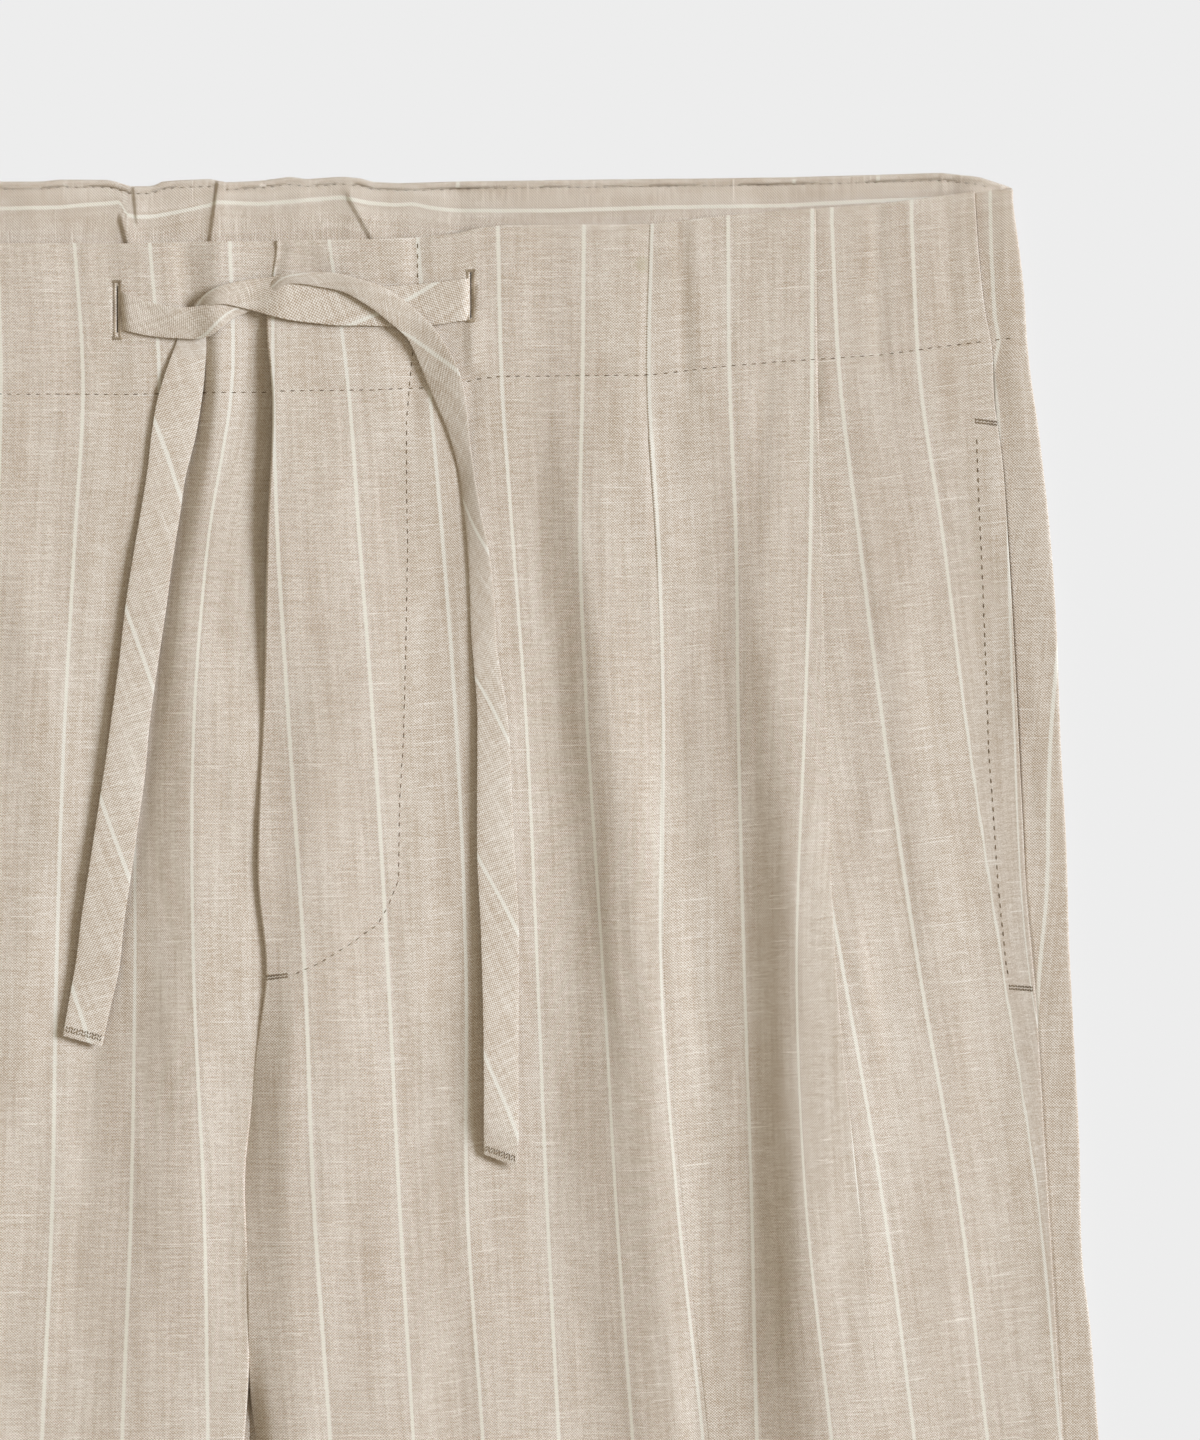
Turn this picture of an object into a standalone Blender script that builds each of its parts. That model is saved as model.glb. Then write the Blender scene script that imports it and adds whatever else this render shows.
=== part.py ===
"""Drawstring linen shorts, laid flat with the front up, as one closed solid for each sewn piece.

X runs across the garment, Y from the hem up to the waist, and Z up from the surface that it lies on.
The origin is the middle of the garment's outline, at that surface. The wearer's left is at +X.

Each piece is a wall of cloth. A panel is a grid whose rows follow the cross grain and whose columns
follow the lengthwise grain, and the tables below say where its lengthwise lines lie, so a knife pleat
is a real fold with three layers. All the tables are in millimetres.
"""

from math import cos, pi, sin
from typing import NamedTuple

import bmesh
import bpy

MM = 0.001

# Driving sizes, in millimetres.
LENGTH = 543.0          # top of the back waist down to the hem at the inner leg
CLOTH = 1.0             # thickness of the wall that stands for one layer of linen
GAP = 0.3               # between two pieces at a seam or a lap
PLY = CLOTH + GAP       # from one layer's middle to the next
FRONT_DROP = 21.6       # how far the front waist lies below the back waist at the centre
BAND_HEIGHT = 45.0      # casing, from the waist edge to its stitch line
SIDE_RISE = 17.7        # how far the cross grain climbs from the centre front to the side
SIDE_REACH = 229.0      # where the cross grain has climbed that far
RISE_POWER = 1.6
BACK_DIP = 4.6          # how far the back waist edge dips where it turns to the front
FACING_INSET = 1.0      # back waist facing, below the waist edge
FACING_END = 3.0        # back waist facing, inside the fold of the side
STRAP_THICKNESS = 1.2
SLOT_WIDTH = 3.0        # buttonhole, opened by the strap in it
INSEAM_TUCK = 10.0      # width over which a leg's inner edge comes down to the back panel

BACK_LEVEL = CLOTH / 2
FACING_LEVEL = BACK_LEVEL + PLY
FRONT_LEVEL = FACING_LEVEL + PLY
WRAP_RADIUS = (FRONT_LEVEL - BACK_LEVEL) / 2
TOP = LENGTH / 2        # Y of the back waist edge

# Heights of the table columns, as drops below the back waist edge at the centre.
LEVELS = {"waist": 16.0, "casing": 64.0, "hip": 158.5, "fly_end": 242.5, "crotch": 363.0, "hem": 543.0}
# Rows of every panel, as drops below the front waist edge at the centre.
ROWS = (0.0, 8.8, 12.3, 25.9, 30.0, 45.0, 60.0, 90.0, 130.0, 172.0, 214.4, 220.9, 232.0, 270.0,
        312.0, 341.4, 400.0, 460.0, 521.4)


class Track(NamedTuple):
    """Distance of a lengthwise line from the centre front, at each level."""

    waist: float
    casing: float
    hip: float
    fly_end: float
    crotch: float
    hem: float


FLAP_EDGE = Track(4.2, 3.0, 0.9, 1.2, -4.5, 3.9)           # wearer's left front, then its inner leg
UNDERLAP_EDGE = Track(30.0, 30.0, 27.0, 0.9, -4.8, -11.1)  # wearer's right front, then its inner leg
FIRST_PLEAT = Track(115.5, 115.5, 120.3, 122.1, 132.3, 150.9)
SECOND_PLEAT = Track(165.9, 166.5, 168.6, 172.0, 181.2, 191.4)
SIDE_SEAM = Track(214.8, 219.3, 225.0, 231.0, 238.5, 248.7)
OUTLINE = Track(226.5, 231.3, 238.8, 242.1, 249.6, 262.2)  # fold of the back panel at the side

FIRST_DEPTH = Track(15.0, 15.0, 11.4, 12.6, 13.5, 9.0)     # how far a pleat's layers lie over each other
SECOND_DEPTH = Track(22.0, 21.3, 14.0, 6.6, -8.0, -25.0)   # below zero the pleat has opened to a slope
SECOND_STEP = Track(1.0, 1.0, 1.0, 1.0, 0.5, 0.15)         # share of its height that the slope keeps


class Ridge(NamedTuple):
    """A broad rise in a front panel below its casing."""

    centre: Track
    half_width: float
    height: float


RIDGES = (
    Ridge(Track(96.0, 98.0, 104.0, 107.0, 118.0, 134.0), 20.0, 1.6),
    Ridge(Track(148.0, 149.0, 151.0, 154.0, 163.0, 176.0), 18.0, 2.0),
    Ridge(Track(192.0, 193.0, 198.0, 205.0, 214.0, 222.0), 17.0, 1.2),
)


class Buttonhole(NamedTuple):
    """An upright slit in the casing, level with two rows of the panel."""

    x: float
    top_row: int
    bottom_row: int


class StrapPoint(NamedTuple):
    """A place on a drawstring strand: across, down from the back waist edge, up, and its width there."""

    x: float
    drop: float
    z: float
    width: float


# The strand leaves the buttonhole in the wearer's right front and ends as the tail on the left front.
STRAND_FROM_RIGHT_FRONT = (
    StrapPoint(-42.8, 41.7, 3.1, 11.0), StrapPoint(-42.75, 41.7, 4.2, 11.0), StrapPoint(-42.1, 41.8, 5.3, 11.1),
    StrapPoint(-39.5, 42.2, 5.8, 11.3), StrapPoint(-34.0, 43.4, 5.9, 11.4), StrapPoint(-27.6, 44.8, 6.9, 10.6),
    StrapPoint(-20.1, 45.6, 7.9, 9.0), StrapPoint(-13.6, 45.2, 7.3, 7.0), StrapPoint(-8.1, 43.9, 6.2, 5.6),
    StrapPoint(-2.7, 41.3, 5.8, 5.0), StrapPoint(2.0, 37.6, 5.8, 4.6), StrapPoint(5.2, 33.0, 6.0, 4.2),
    StrapPoint(9.6, 31.2, 7.2, 4.2), StrapPoint(15.9, 32.0, 7.9, 4.4), StrapPoint(24.9, 33.3, 8.0, 5.0),
    StrapPoint(33.9, 36.3, 8.0, 7.0), StrapPoint(42.0, 42.0, 7.9, 9.0), StrapPoint(48.3, 48.9, 7.4, 10.5),
    StrapPoint(52.8, 57.0, 6.6, 11.0), StrapPoint(55.5, 68.4, 5.8, 10.0), StrapPoint(58.5, 80.4, 5.4, 7.5),
    StrapPoint(61.5, 92.4, 5.2, 6.5), StrapPoint(64.5, 107.4, 5.2, 8.0), StrapPoint(66.3, 125.4, 5.2, 9.5),
    StrapPoint(67.5, 146.4, 5.2, 10.5), StrapPoint(69.3, 170.4, 5.2, 11.2), StrapPoint(70.2, 197.4, 5.2, 11.4),
    StrapPoint(71.4, 227.4, 5.2, 11.4), StrapPoint(71.7, 257.4, 5.2, 11.4), StrapPoint(71.4, 278.4, 5.2, 11.4),
    StrapPoint(71.1, 295.8, 5.2, 11.4),
)
# The strand leaves the buttonhole in the wearer's left front and ends as the tail on the right front.
STRAND_FROM_LEFT_FRONT = (
    StrapPoint(62.1, 38.5, 3.1, 11.4), StrapPoint(62.05, 38.5, 4.2, 11.4), StrapPoint(61.2, 38.5, 5.3, 11.6),
    StrapPoint(58.8, 38.7, 5.8, 11.9), StrapPoint(53.4, 39.6, 5.9, 12.0), StrapPoint(41.4, 40.2, 5.9, 11.8),
    StrapPoint(29.4, 40.2, 5.9, 11.2), StrapPoint(20.4, 39.8, 6.0, 10.4), StrapPoint(11.4, 39.2, 6.8, 8.8),
    StrapPoint(3.4, 38.4, 7.7, 7.6), StrapPoint(-4.6, 37.6, 8.0, 6.4), StrapPoint(-11.1, 37.2, 7.9, 4.8),
    StrapPoint(-16.1, 38.0, 7.2, 3.8), StrapPoint(-19.0, 40.2, 6.2, 3.8), StrapPoint(-20.4, 43.4, 5.8, 4.6),
    StrapPoint(-21.1, 48.0, 5.8, 7.0), StrapPoint(-21.6, 53.4, 5.6, 9.5), StrapPoint(-23.1, 62.4, 5.4, 11.4),
    StrapPoint(-25.2, 71.4, 5.2, 11.8), StrapPoint(-28.8, 91.5, 5.2, 11.6), StrapPoint(-30.9, 107.1, 5.2, 11.4),
    StrapPoint(-34.2, 129.9, 5.2, 11.4), StrapPoint(-37.5, 153.0, 5.2, 11.2), StrapPoint(-39.6, 173.4, 5.2, 11.2),
    StrapPoint(-41.4, 186.6, 5.2, 11.4), StrapPoint(-45.6, 212.1, 5.2, 11.6), StrapPoint(-48.9, 234.9, 5.2, 11.6),
    StrapPoint(-52.8, 257.4, 5.2, 11.4), StrapPoint(-53.7, 261.3, 5.2, 11.2),
)
STRAP_STEPS = 2         # stretches of mesh between two points of a strand
STRAP_SPAN = 3          # points each way that give a strand its direction

LINEN = (0.60, 0.51, 0.41)
FACING_LINEN = (0.57, 0.49, 0.40)
STRAP_LINEN = (0.62, 0.53, 0.43)


def smooth_step(t):
    """0 at or below 0, 1 at or above 1, and a soft S between."""
    t = min(max(t, 0.0), 1.0)
    return t * t * (3 - 2 * t)


def track_at(track, drop):
    """A track's value at a drop, on a smooth curve through its levels."""
    drops = list(LEVELS.values())
    drop = min(max(drop, drops[0]), drops[-1])
    slopes = []
    for i in range(len(drops)):
        before, after = max(i - 1, 0), min(i + 1, len(drops) - 1)
        slopes.append((track[after] - track[before]) / (drops[after] - drops[before]))
    i = max(k for k in range(len(drops) - 1) if drops[k] <= drop)
    span = drops[i + 1] - drops[i]
    t = (drop - drops[i]) / span
    return (
        (2 * t**3 - 3 * t**2 + 1) * track[i] + (t**3 - 2 * t**2 + t) * span * slopes[i]
        + (3 * t**2 - 2 * t**3) * track[i + 1] + (t**3 - t**2) * span * slopes[i + 1]
    )


def cross_grain_rise(x):
    """How far the cross grain has climbed at a distance from the centre front."""
    return SIDE_RISE * min(abs(x) / SIDE_REACH, 1.15) ** RISE_POWER


def back_edge_drop(x):
    """Drop of the back waist edge, which dips where it turns to the front."""
    outline = OUTLINE.waist
    return BACK_DIP * smooth_step((abs(x) - outline + 28.0) / 28.0)


def front_y(row, x):
    """Y of a row of a front panel."""
    return TOP - (FRONT_DROP + row - cross_grain_rise(x))


def back_y(row, x):
    """Y of a row of a back panel, whose first row is the back waist edge and whose last is the hem."""
    hem = front_y(ROWS[-1], x)
    start = TOP - back_edge_drop(x)
    return start + (hem - start) * row / ROWS[-1]


def ridge_height(x, drop):
    """Height that the ridges add to a front panel, none in the casing."""
    grown = smooth_step((drop - FRONT_DROP - BAND_HEIGHT) / 60.0)
    total = 0.0
    for ridge in RIDGES:
        reach = abs(x - track_at(ridge.centre, drop)) / ridge.half_width
        total += ridge.height * smooth_step(1.0 - reach)
    return grown * total


def fold_section(edge, depth, high, low):
    """Points (x, z) through a knife pleat, from its top layer at the fold's edge to its bottom layer.

    With a depth above zero the cloth turns back under itself and out again. Below zero it has opened,
    and runs down a soft slope.
    """
    points = []
    steps = 3
    radius = (high - low) / 4
    if depth > 0:
        for i in range(steps + 1):
            a = pi / 2 - pi * i / steps
            points.append((edge - radius + radius * cos(a), high - radius + radius * sin(a)))
        for i in range(steps + 1):
            a = pi / 2 + pi * i / steps
            points.append((edge - depth - radius + radius * cos(a), low + radius + radius * sin(a)))
        return points
    count = 2 * (steps + 1)
    for i in range(count):
        t = i / (count - 1)
        points.append((edge - depth * t, high + (low - high) * smooth_step(t)))
    return points


def front_section(drop, centre_edge, stops, lap):
    """Points (x, z) of a front panel at a drop, from its centre edge to its side seam.

    Args:
        drop: Distance below the back waist edge at the centre.
        centre_edge: Track of the edge at the centre front and the inner leg.
        stops: Distances from the centre front that need a column of their own, up to the first pleat.
        lap: How far the panel lies above the other front's underlap at its centre edge.
    """
    start = track_at(centre_edge, drop)
    first, second = track_at(FIRST_PLEAT, drop), track_at(SECOND_PLEAT, drop)
    seam = track_at(SIDE_SEAM, drop) - GAP / 2
    step = 2 * PLY
    second_step = step * track_at(SECOND_STEP, drop)
    lap_end = UNDERLAP_EDGE.waist + 2.0
    inner_leg = drop > LEVELS["crotch"] - 1.0

    def height(x, before_fold, fold_height):
        z = FRONT_LEVEL + ridge_height(x, drop)
        z += lap * smooth_step((lap_end + 12.0 - x) / 12.0)
        z += fold_height * smooth_step((x - before_fold + 24.0) / 18.0)
        if inner_leg:
            z -= PLY * smooth_step((start + INSEAM_TUCK - x) / INSEAM_TUCK)
        return z

    points = [(start, height(start, first, step))]
    for x in (*stops, first - 26.0, first - 18.0, first - 11.0, first - 5.0):
        points.append((x, height(x, first, step)))
    base = FRONT_LEVEL + ridge_height(first, drop)
    points += fold_section(first, track_at(FIRST_DEPTH, drop), base + step, base)
    for x in (first + 8.0, second - 26.0, second - 18.0, second - 11.0, second - 5.0):
        points.append((x, height(x, second, second_step)))
    base = FRONT_LEVEL + ridge_height(second, drop)
    points += fold_section(second, track_at(SECOND_DEPTH, drop), base + second_step, base)
    last = points[-1][0]
    if last < second + 2.0:
        last = second + 2.0
    for share in (0.25, 0.5, 0.75, 1.0):
        x = last + (seam - last) * share
        points.append((x, FRONT_LEVEL + ridge_height(x, drop)))
    return points


def centre_back(side, drop):
    """X of a back panel's centre edge: the centre back seam, and the inner leg below the crotch."""
    seam = track_at(FLAP_EDGE, drop) if drop > LEVELS["fly_end"] else FLAP_EDGE.fly_end
    if side > 0:
        return seam + GAP / 2
    below = max(drop - LEVELS["crotch"], 0.0) / (LEVELS["hem"] - LEVELS["crotch"])
    return seam - GAP / 2 - (FLAP_EDGE.hem - UNDERLAP_EDGE.hem) * below


def back_section(drop, side):
    """Points (x, z) of a back panel at a drop, from the centre back round the side to the side seam."""
    start = side * centre_back(side, drop)
    outline = track_at(OUTLINE, drop) - CLOTH / 2
    middle = outline - WRAP_RADIUS
    seam = track_at(SIDE_SEAM, drop) + GAP / 2
    points = [(start + (middle - start) * k / 6, BACK_LEVEL) for k in range(6)]
    for i in range(7):
        a = -pi / 2 + pi * i / 6
        points.append((middle + WRAP_RADIUS * cos(a), BACK_LEVEL + WRAP_RADIUS + WRAP_RADIUS * sin(a)))
    points.append(((middle + seam) / 2, FRONT_LEVEL))
    points.append((seam, FRONT_LEVEL))
    return points


def cloth_object(name, place, columns, rows, thickness, colour, hole=None, even=True):
    """A named wall of cloth: a grid whose points are placed by a function, then given its thickness.

    Args:
        name: Name of the piece.
        place: Function of a column and a row that gives a point in millimetres.
        columns: How many columns of points.
        rows: How many rows of points.
        thickness: Thickness of the wall, in millimetres.
        colour: Linear colour of the cloth.
        hole: Columns and rows (first column, last column, first row, last row) of faces left out.
        even: Whether the wall keeps its thickness round the tight turns of a pleat.
    """
    mesh = bpy.data.meshes.new(name)
    bm = bmesh.new()
    bmesh.ops.create_grid(bm, x_segments=columns - 1, y_segments=rows - 1, size=0.5)
    cells = {}
    for vert in bm.verts:
        column = round((vert.co.x + 0.5) * (columns - 1))
        row = round((0.5 - vert.co.y) * (rows - 1))
        cells[vert.index] = (column, row)
        vert.co = [MM * value for value in place(column, row)]
    if hole:
        first_column, last_column, first_row, last_row = hole
        inside = []
        for face in bm.faces:
            found = [cells[vert.index] for vert in face.verts]
            in_columns = all(first_column <= column <= last_column for column, _ in found)
            in_rows = all(first_row <= row <= last_row for _, row in found)
            if in_columns and in_rows:
                inside.append(face)
        bmesh.ops.delete(bm, geom=inside, context="FACES")
    bm.to_mesh(mesh)
    bm.free()
    mesh.shade_smooth()
    obj = bpy.data.objects.new(name, mesh)
    bpy.context.scene.collection.objects.link(obj)
    wall = obj.modifiers.new("Cloth", "SOLIDIFY")
    wall.thickness = thickness * MM
    wall.offset = 0.0
    wall.use_even_offset = even
    mesh.materials.append(linen_material(name, colour))
    return obj


def linen_material(name, colour):
    """A matt material for one piece of linen."""
    material = bpy.data.materials.new(f"{name}_linen")
    material.use_nodes = True
    shader = material.node_tree.nodes["Principled BSDF"]
    shader.inputs["Base Color"].default_value = (*colour, 1.0)
    shader.inputs["Roughness"].default_value = 0.9
    shader.inputs["Metallic"].default_value = 0.0
    return material


def build_front(name, side, centre_edge, stops, buttonhole, lapped):
    """A front panel, with its casing, pleats, buttonhole and the flap or underlap of the fly.

    Args:
        name: Name of the piece.
        side: 1 for the wearer's left, -1 for the wearer's right, whose tracks are mirrored.
        centre_edge: Track of its centre edge, already mirrored for the wearer's right.
        stops: Distances of extra columns between the centre edge and the first pleat.
        buttonhole: The slit in its casing.
        lapped: Whether it is the flap that lies on the other front's underlap.
    """
    sections = []
    for row in ROWS:
        drop = FRONT_DROP + row
        lap = PLY * smooth_step((LEVELS["fly_end"] + 22.0 - drop) / 20.0) if lapped else 0.0
        sections.append(front_section(drop, centre_edge, stops, lap))

    def place(column, row):
        x, z = sections[row][column]
        return (side * x, front_y(ROWS[row], x), z)

    slit = 1 + stops.index(buttonhole.x - SLOT_WIDTH / 2)
    hole = (slit, slit + 1, buttonhole.top_row, buttonhole.bottom_row)
    return cloth_object(name, place, len(sections[0]), len(ROWS), CLOTH, LINEN, hole)


def build_back(name, side):
    """A back panel, which wraps round the side and ends at the side seam on the front."""
    sections = [back_section(FRONT_DROP + row, side) for row in ROWS]
    wrapped = len(sections[0]) - 5

    def place(column, row):
        x, z = sections[row][column]
        y = front_y(ROWS[row], x) if column >= wrapped else back_y(ROWS[row], x)
        return (side * x, y, z)

    return cloth_object(name, place, len(sections[0]), len(ROWS), CLOTH, LINEN)


def build_facing():
    """The facing inside the back waist, from side to side, just below the waist edge."""
    columns = 17
    rows = 5
    end = OUTLINE.waist - FACING_END

    def place(column, row):
        x = end * (2 * column / (columns - 1) - 1)
        y = TOP - back_edge_drop(x) - FACING_INSET - BAND_HEIGHT * row / (rows - 1)
        return (x, y, FACING_LEVEL)

    return cloth_object("back_waist_facing", place, columns, rows, CLOTH, FACING_LINEN)


def strand_points(route):
    """Points (x, y, z, width) of a strand, on a smooth curve through its route."""
    points = []
    for i in range(len(route) - 1):
        before, a = route[max(i - 1, 0)], route[i]
        b, after = route[i + 1], route[min(i + 2, len(route) - 1)]
        for k in range(STRAP_STEPS):
            t = k / STRAP_STEPS
            values = []
            for p0, p1, p2, p3 in zip(before, a, b, after):
                bend = 2 * p0 - 5 * p1 + 4 * p2 - p3
                turn = 3 * p1 - p0 - 3 * p2 + p3
                values.append(0.5 * (2 * p1 + (p2 - p0) * t + bend * t**2 + turn * t**3))
            points.append(StrapPoint(*values))
    points.append(route[-1])
    return points


def build_strand(name, route):
    """One strand of the drawstring: a flat strap along its route, lying across its own width."""
    points = strand_points(route)
    across = []
    for i in range(len(points)):
        before, after = points[max(i - STRAP_SPAN, 0)], points[min(i + STRAP_SPAN, len(points) - 1)]
        dx, dy = after.x - before.x, before.drop - after.drop
        length = max((dx * dx + dy * dy) ** 0.5, 1e-6)
        across.append((-dy / length, dx / length))

    def place(column, row):
        point = points[row]
        reach = point.width * (0.5 - column / 2)
        return (point.x + across[row][0] * reach, TOP - point.drop + across[row][1] * reach, point.z)

    return cloth_object(name, place, 3, len(points), STRAP_THICKNESS, STRAP_LINEN, even=False)


def main():
    """Clears the scene and builds every piece."""
    for obj in list(bpy.data.objects):
        bpy.data.objects.remove(obj)
    left_hole = Buttonhole(62.1, 1, 3)
    right_hole = Buttonhole(42.7, 2, 4)
    half_slot = SLOT_WIDTH / 2
    left_stops = (18.0, 33.0, 46.0, left_hole.x - half_slot, left_hole.x + half_slot, 78.0)
    right_stops = (14.0, 28.0, right_hole.x - half_slot, right_hole.x + half_slot, 60.0, 78.0)
    underlap = Track(*(-value for value in UNDERLAP_EDGE))
    build_front("front_left", 1, FLAP_EDGE, left_stops, left_hole, True)
    build_front("front_right", -1, underlap, right_stops, right_hole, False)
    build_back("back_left", 1)
    build_back("back_right", -1)
    build_facing()
    build_strand("drawstring_from_right_front", STRAND_FROM_RIGHT_FRONT)
    build_strand("drawstring_from_left_front", STRAND_FROM_LEFT_FRONT)


main()
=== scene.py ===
"""Looks of a pair of drawstring linen shorts, laid flat with the front up.

The shorts are a plain-woven linen with an ivory stripe in the warp. Each sewn piece is a thin shell
of cloth whose columns follow the warp and whose rows follow the weft, so the weave and the stripes
bend with the cloth. Distances in the tables are millimetres: across is measured from the centre
front towards the wearer's left, and drop is measured down from the back waist edge. A right-hand
panel is worked out as if it were a left-hand one, and then mirrored.
"""

import logging
from dataclasses import dataclass, field
from enum import Enum
from math import cos, hypot, pi, radians, sin
from typing import Callable, Sequence

import bmesh
import bpy
import numpy as np
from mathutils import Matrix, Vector
from mathutils.bvhtree import BVHTree


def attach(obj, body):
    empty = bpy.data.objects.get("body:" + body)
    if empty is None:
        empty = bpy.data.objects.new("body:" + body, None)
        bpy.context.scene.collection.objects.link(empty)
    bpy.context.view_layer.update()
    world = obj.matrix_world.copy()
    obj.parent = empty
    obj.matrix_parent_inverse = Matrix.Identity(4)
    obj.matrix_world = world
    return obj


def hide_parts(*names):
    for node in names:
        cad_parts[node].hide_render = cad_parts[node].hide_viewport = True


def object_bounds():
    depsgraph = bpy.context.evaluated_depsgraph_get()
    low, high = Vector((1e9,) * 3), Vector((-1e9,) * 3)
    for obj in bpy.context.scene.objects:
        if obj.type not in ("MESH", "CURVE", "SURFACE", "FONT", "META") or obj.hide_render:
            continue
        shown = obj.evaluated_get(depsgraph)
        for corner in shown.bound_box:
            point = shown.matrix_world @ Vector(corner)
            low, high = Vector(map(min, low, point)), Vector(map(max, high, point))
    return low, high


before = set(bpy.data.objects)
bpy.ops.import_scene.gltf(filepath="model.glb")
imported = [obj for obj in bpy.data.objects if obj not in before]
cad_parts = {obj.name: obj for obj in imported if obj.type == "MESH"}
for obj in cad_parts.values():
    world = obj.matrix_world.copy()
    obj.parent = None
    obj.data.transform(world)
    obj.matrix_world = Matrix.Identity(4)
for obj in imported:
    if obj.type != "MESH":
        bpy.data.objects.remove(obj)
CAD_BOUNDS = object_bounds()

LOG = logging.getLogger("shorts")

MM = 0.001
BODY = "root"
STRIPE_PITCH = 25.2     # from one ivory stripe of the cloth to the next
CLOTH = 0.42            # thickness of one layer of the linen
REST_LEVEL = 5.4        # height of the front panels where they lie flat
DENT_WIDTH = 1.5        # how far a row of stitches pulls the cloth down to each side
SURFACE = CAD_BOUNDS[0][2] / MM
TOP = CAD_BOUNDS[1][1] / MM

Point = tuple[float, float]
Slit = tuple[float, float, float]
Table = tuple[Point, ...]


class Side(Enum):
    """Which side of the wearer a piece is on, with the sign of its X."""

    LEFT = 1
    RIGHT = -1


class Slot(Enum):
    """Names of material slots."""

    CLOTH = "striped_linen"
    STRAP = "strap_linen"
    THREAD = "sewing_thread"


def smooth_step(t: np.ndarray | float) -> np.ndarray | float:
    """0 at or below 0, 1 at or above 1, and a soft S between."""
    t = np.clip(t, 0.0, 1.0)
    return t * t * (3.0 - 2.0 * t)


def groove(distance: np.ndarray, width: float) -> np.ndarray:
    """A soft bell, 1 at no distance and nearly 0 at twice the width."""
    return np.exp(-((distance / width) ** 2))


def cubic(t: np.ndarray, span: np.ndarray, before: np.ndarray, after: np.ndarray, slope_before: np.ndarray,
          slope_after: np.ndarray) -> np.ndarray:
    """Cubic from one value and slope to the next, at a share t of the span between them.

    Args:
        t: Share of the way, 0 to 1.
        span: Distance between the two places.
        before: Value at the first place.
        after: Value at the second place.
        slope_before: Slope at the first place.
        slope_after: Slope at the second place.

    Returns:
        The value at t.
    """
    return (
        (2 * t**3 - 3 * t**2 + 1) * before + (t**3 - 2 * t**2 + t) * span * slope_before
        + (3 * t**2 - 2 * t**3) * after + (t**3 - t**2) * span * slope_after
    )


def smooth_curve(x: np.ndarray | float, knots: np.ndarray, values: np.ndarray) -> np.ndarray:
    """Smooth curve through knots.

    Args:
        x: Where the curve is read; outside the knots it keeps its end value.
        knots: Rising places of the knots.
        values: Value at each knot.

    Returns:
        The curve's value at each x.
    """
    slopes = np.gradient(values, knots)
    x = np.clip(x, knots[0], knots[-1])
    i = np.clip(np.searchsorted(knots, x, side="right") - 1, 0, len(knots) - 2)
    span = knots[i + 1] - knots[i]
    return cubic((x - knots[i]) / span, span, values[i], values[i + 1], slopes[i], slopes[i + 1])


def length_along(points: np.ndarray, slack: float = 0.0) -> np.ndarray:
    """Length of a chain of (across, drop) points up to each one, with some slack in every step."""
    return np.concatenate([[0.0], np.cumsum(np.hypot(*np.diff(points, axis=0).T) + slack)])


@dataclass(frozen=True)
class Track:
    """A length that changes down the garment, read on a smooth curve through its levels."""

    levels: tuple[float, ...]
    values: tuple[float, ...]

    def at(self, drop: np.ndarray | float) -> np.ndarray | float:
        """The track's value at a drop."""
        levels, values = np.array(self.levels, float), np.array(self.values, float)
        return smooth_curve(np.asarray(drop, float), levels, values)


def read_table(table: Table, x: np.ndarray | float) -> np.ndarray | float:
    """Value of a table of (place, value) pairs, in straight lines between them."""
    places, values = zip(*table)
    return np.interp(x, places, values)


@dataclass(frozen=True)
class ReliefLine:
    """A lengthwise line on a panel: where it lies and how high the cloth stands there, level by level."""

    across: tuple[float, ...]
    height: tuple[float, ...]


@dataclass(frozen=True)
class Relief:
    """The broad folds of a panel, as feet, crests and troughs that run down it."""

    levels: tuple[float, ...]
    lines: tuple[ReliefLine, ...]

    def at(self, across: np.ndarray, drop: np.ndarray) -> np.ndarray:
        """Height of the cloth above its rest level.

        Args:
            across: Distance of each point from the centre front, outwards.
            drop: Drop of each point.

        Returns:
            Height at each point; it is highest and lowest only at the lines.
        """
        places = np.stack([Track(self.levels, line.across).at(drop) for line in self.lines])
        heights = np.stack([Track(self.levels, line.height).at(drop) for line in self.lines])
        steps = np.diff(heights, axis=0) / np.maximum(np.diff(places, axis=0), 1.0)
        slopes = np.zeros_like(heights)
        same_way = steps[:-1] * steps[1:] > 0
        total = np.where(same_way, steps[:-1] + steps[1:], 1.0)
        slopes[1:-1] = np.where(same_way, 2.0 * steps[:-1] * steps[1:] / total, 0.0)
        x = np.clip(across, places[0], places[-1])
        i = np.clip((x[None] >= places).sum(axis=0) - 1, 0, len(self.lines) - 2)

        def around(values: np.ndarray) -> list[np.ndarray]:
            """Values of the lines before and after each point."""
            return [np.take_along_axis(values, line[None], axis=0)[0] for line in (i, i + 1)]

        before, after = around(places)
        span = np.maximum(after - before, 0.01)
        return cubic((x - before) / span, span, *around(heights), *around(slopes))


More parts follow.
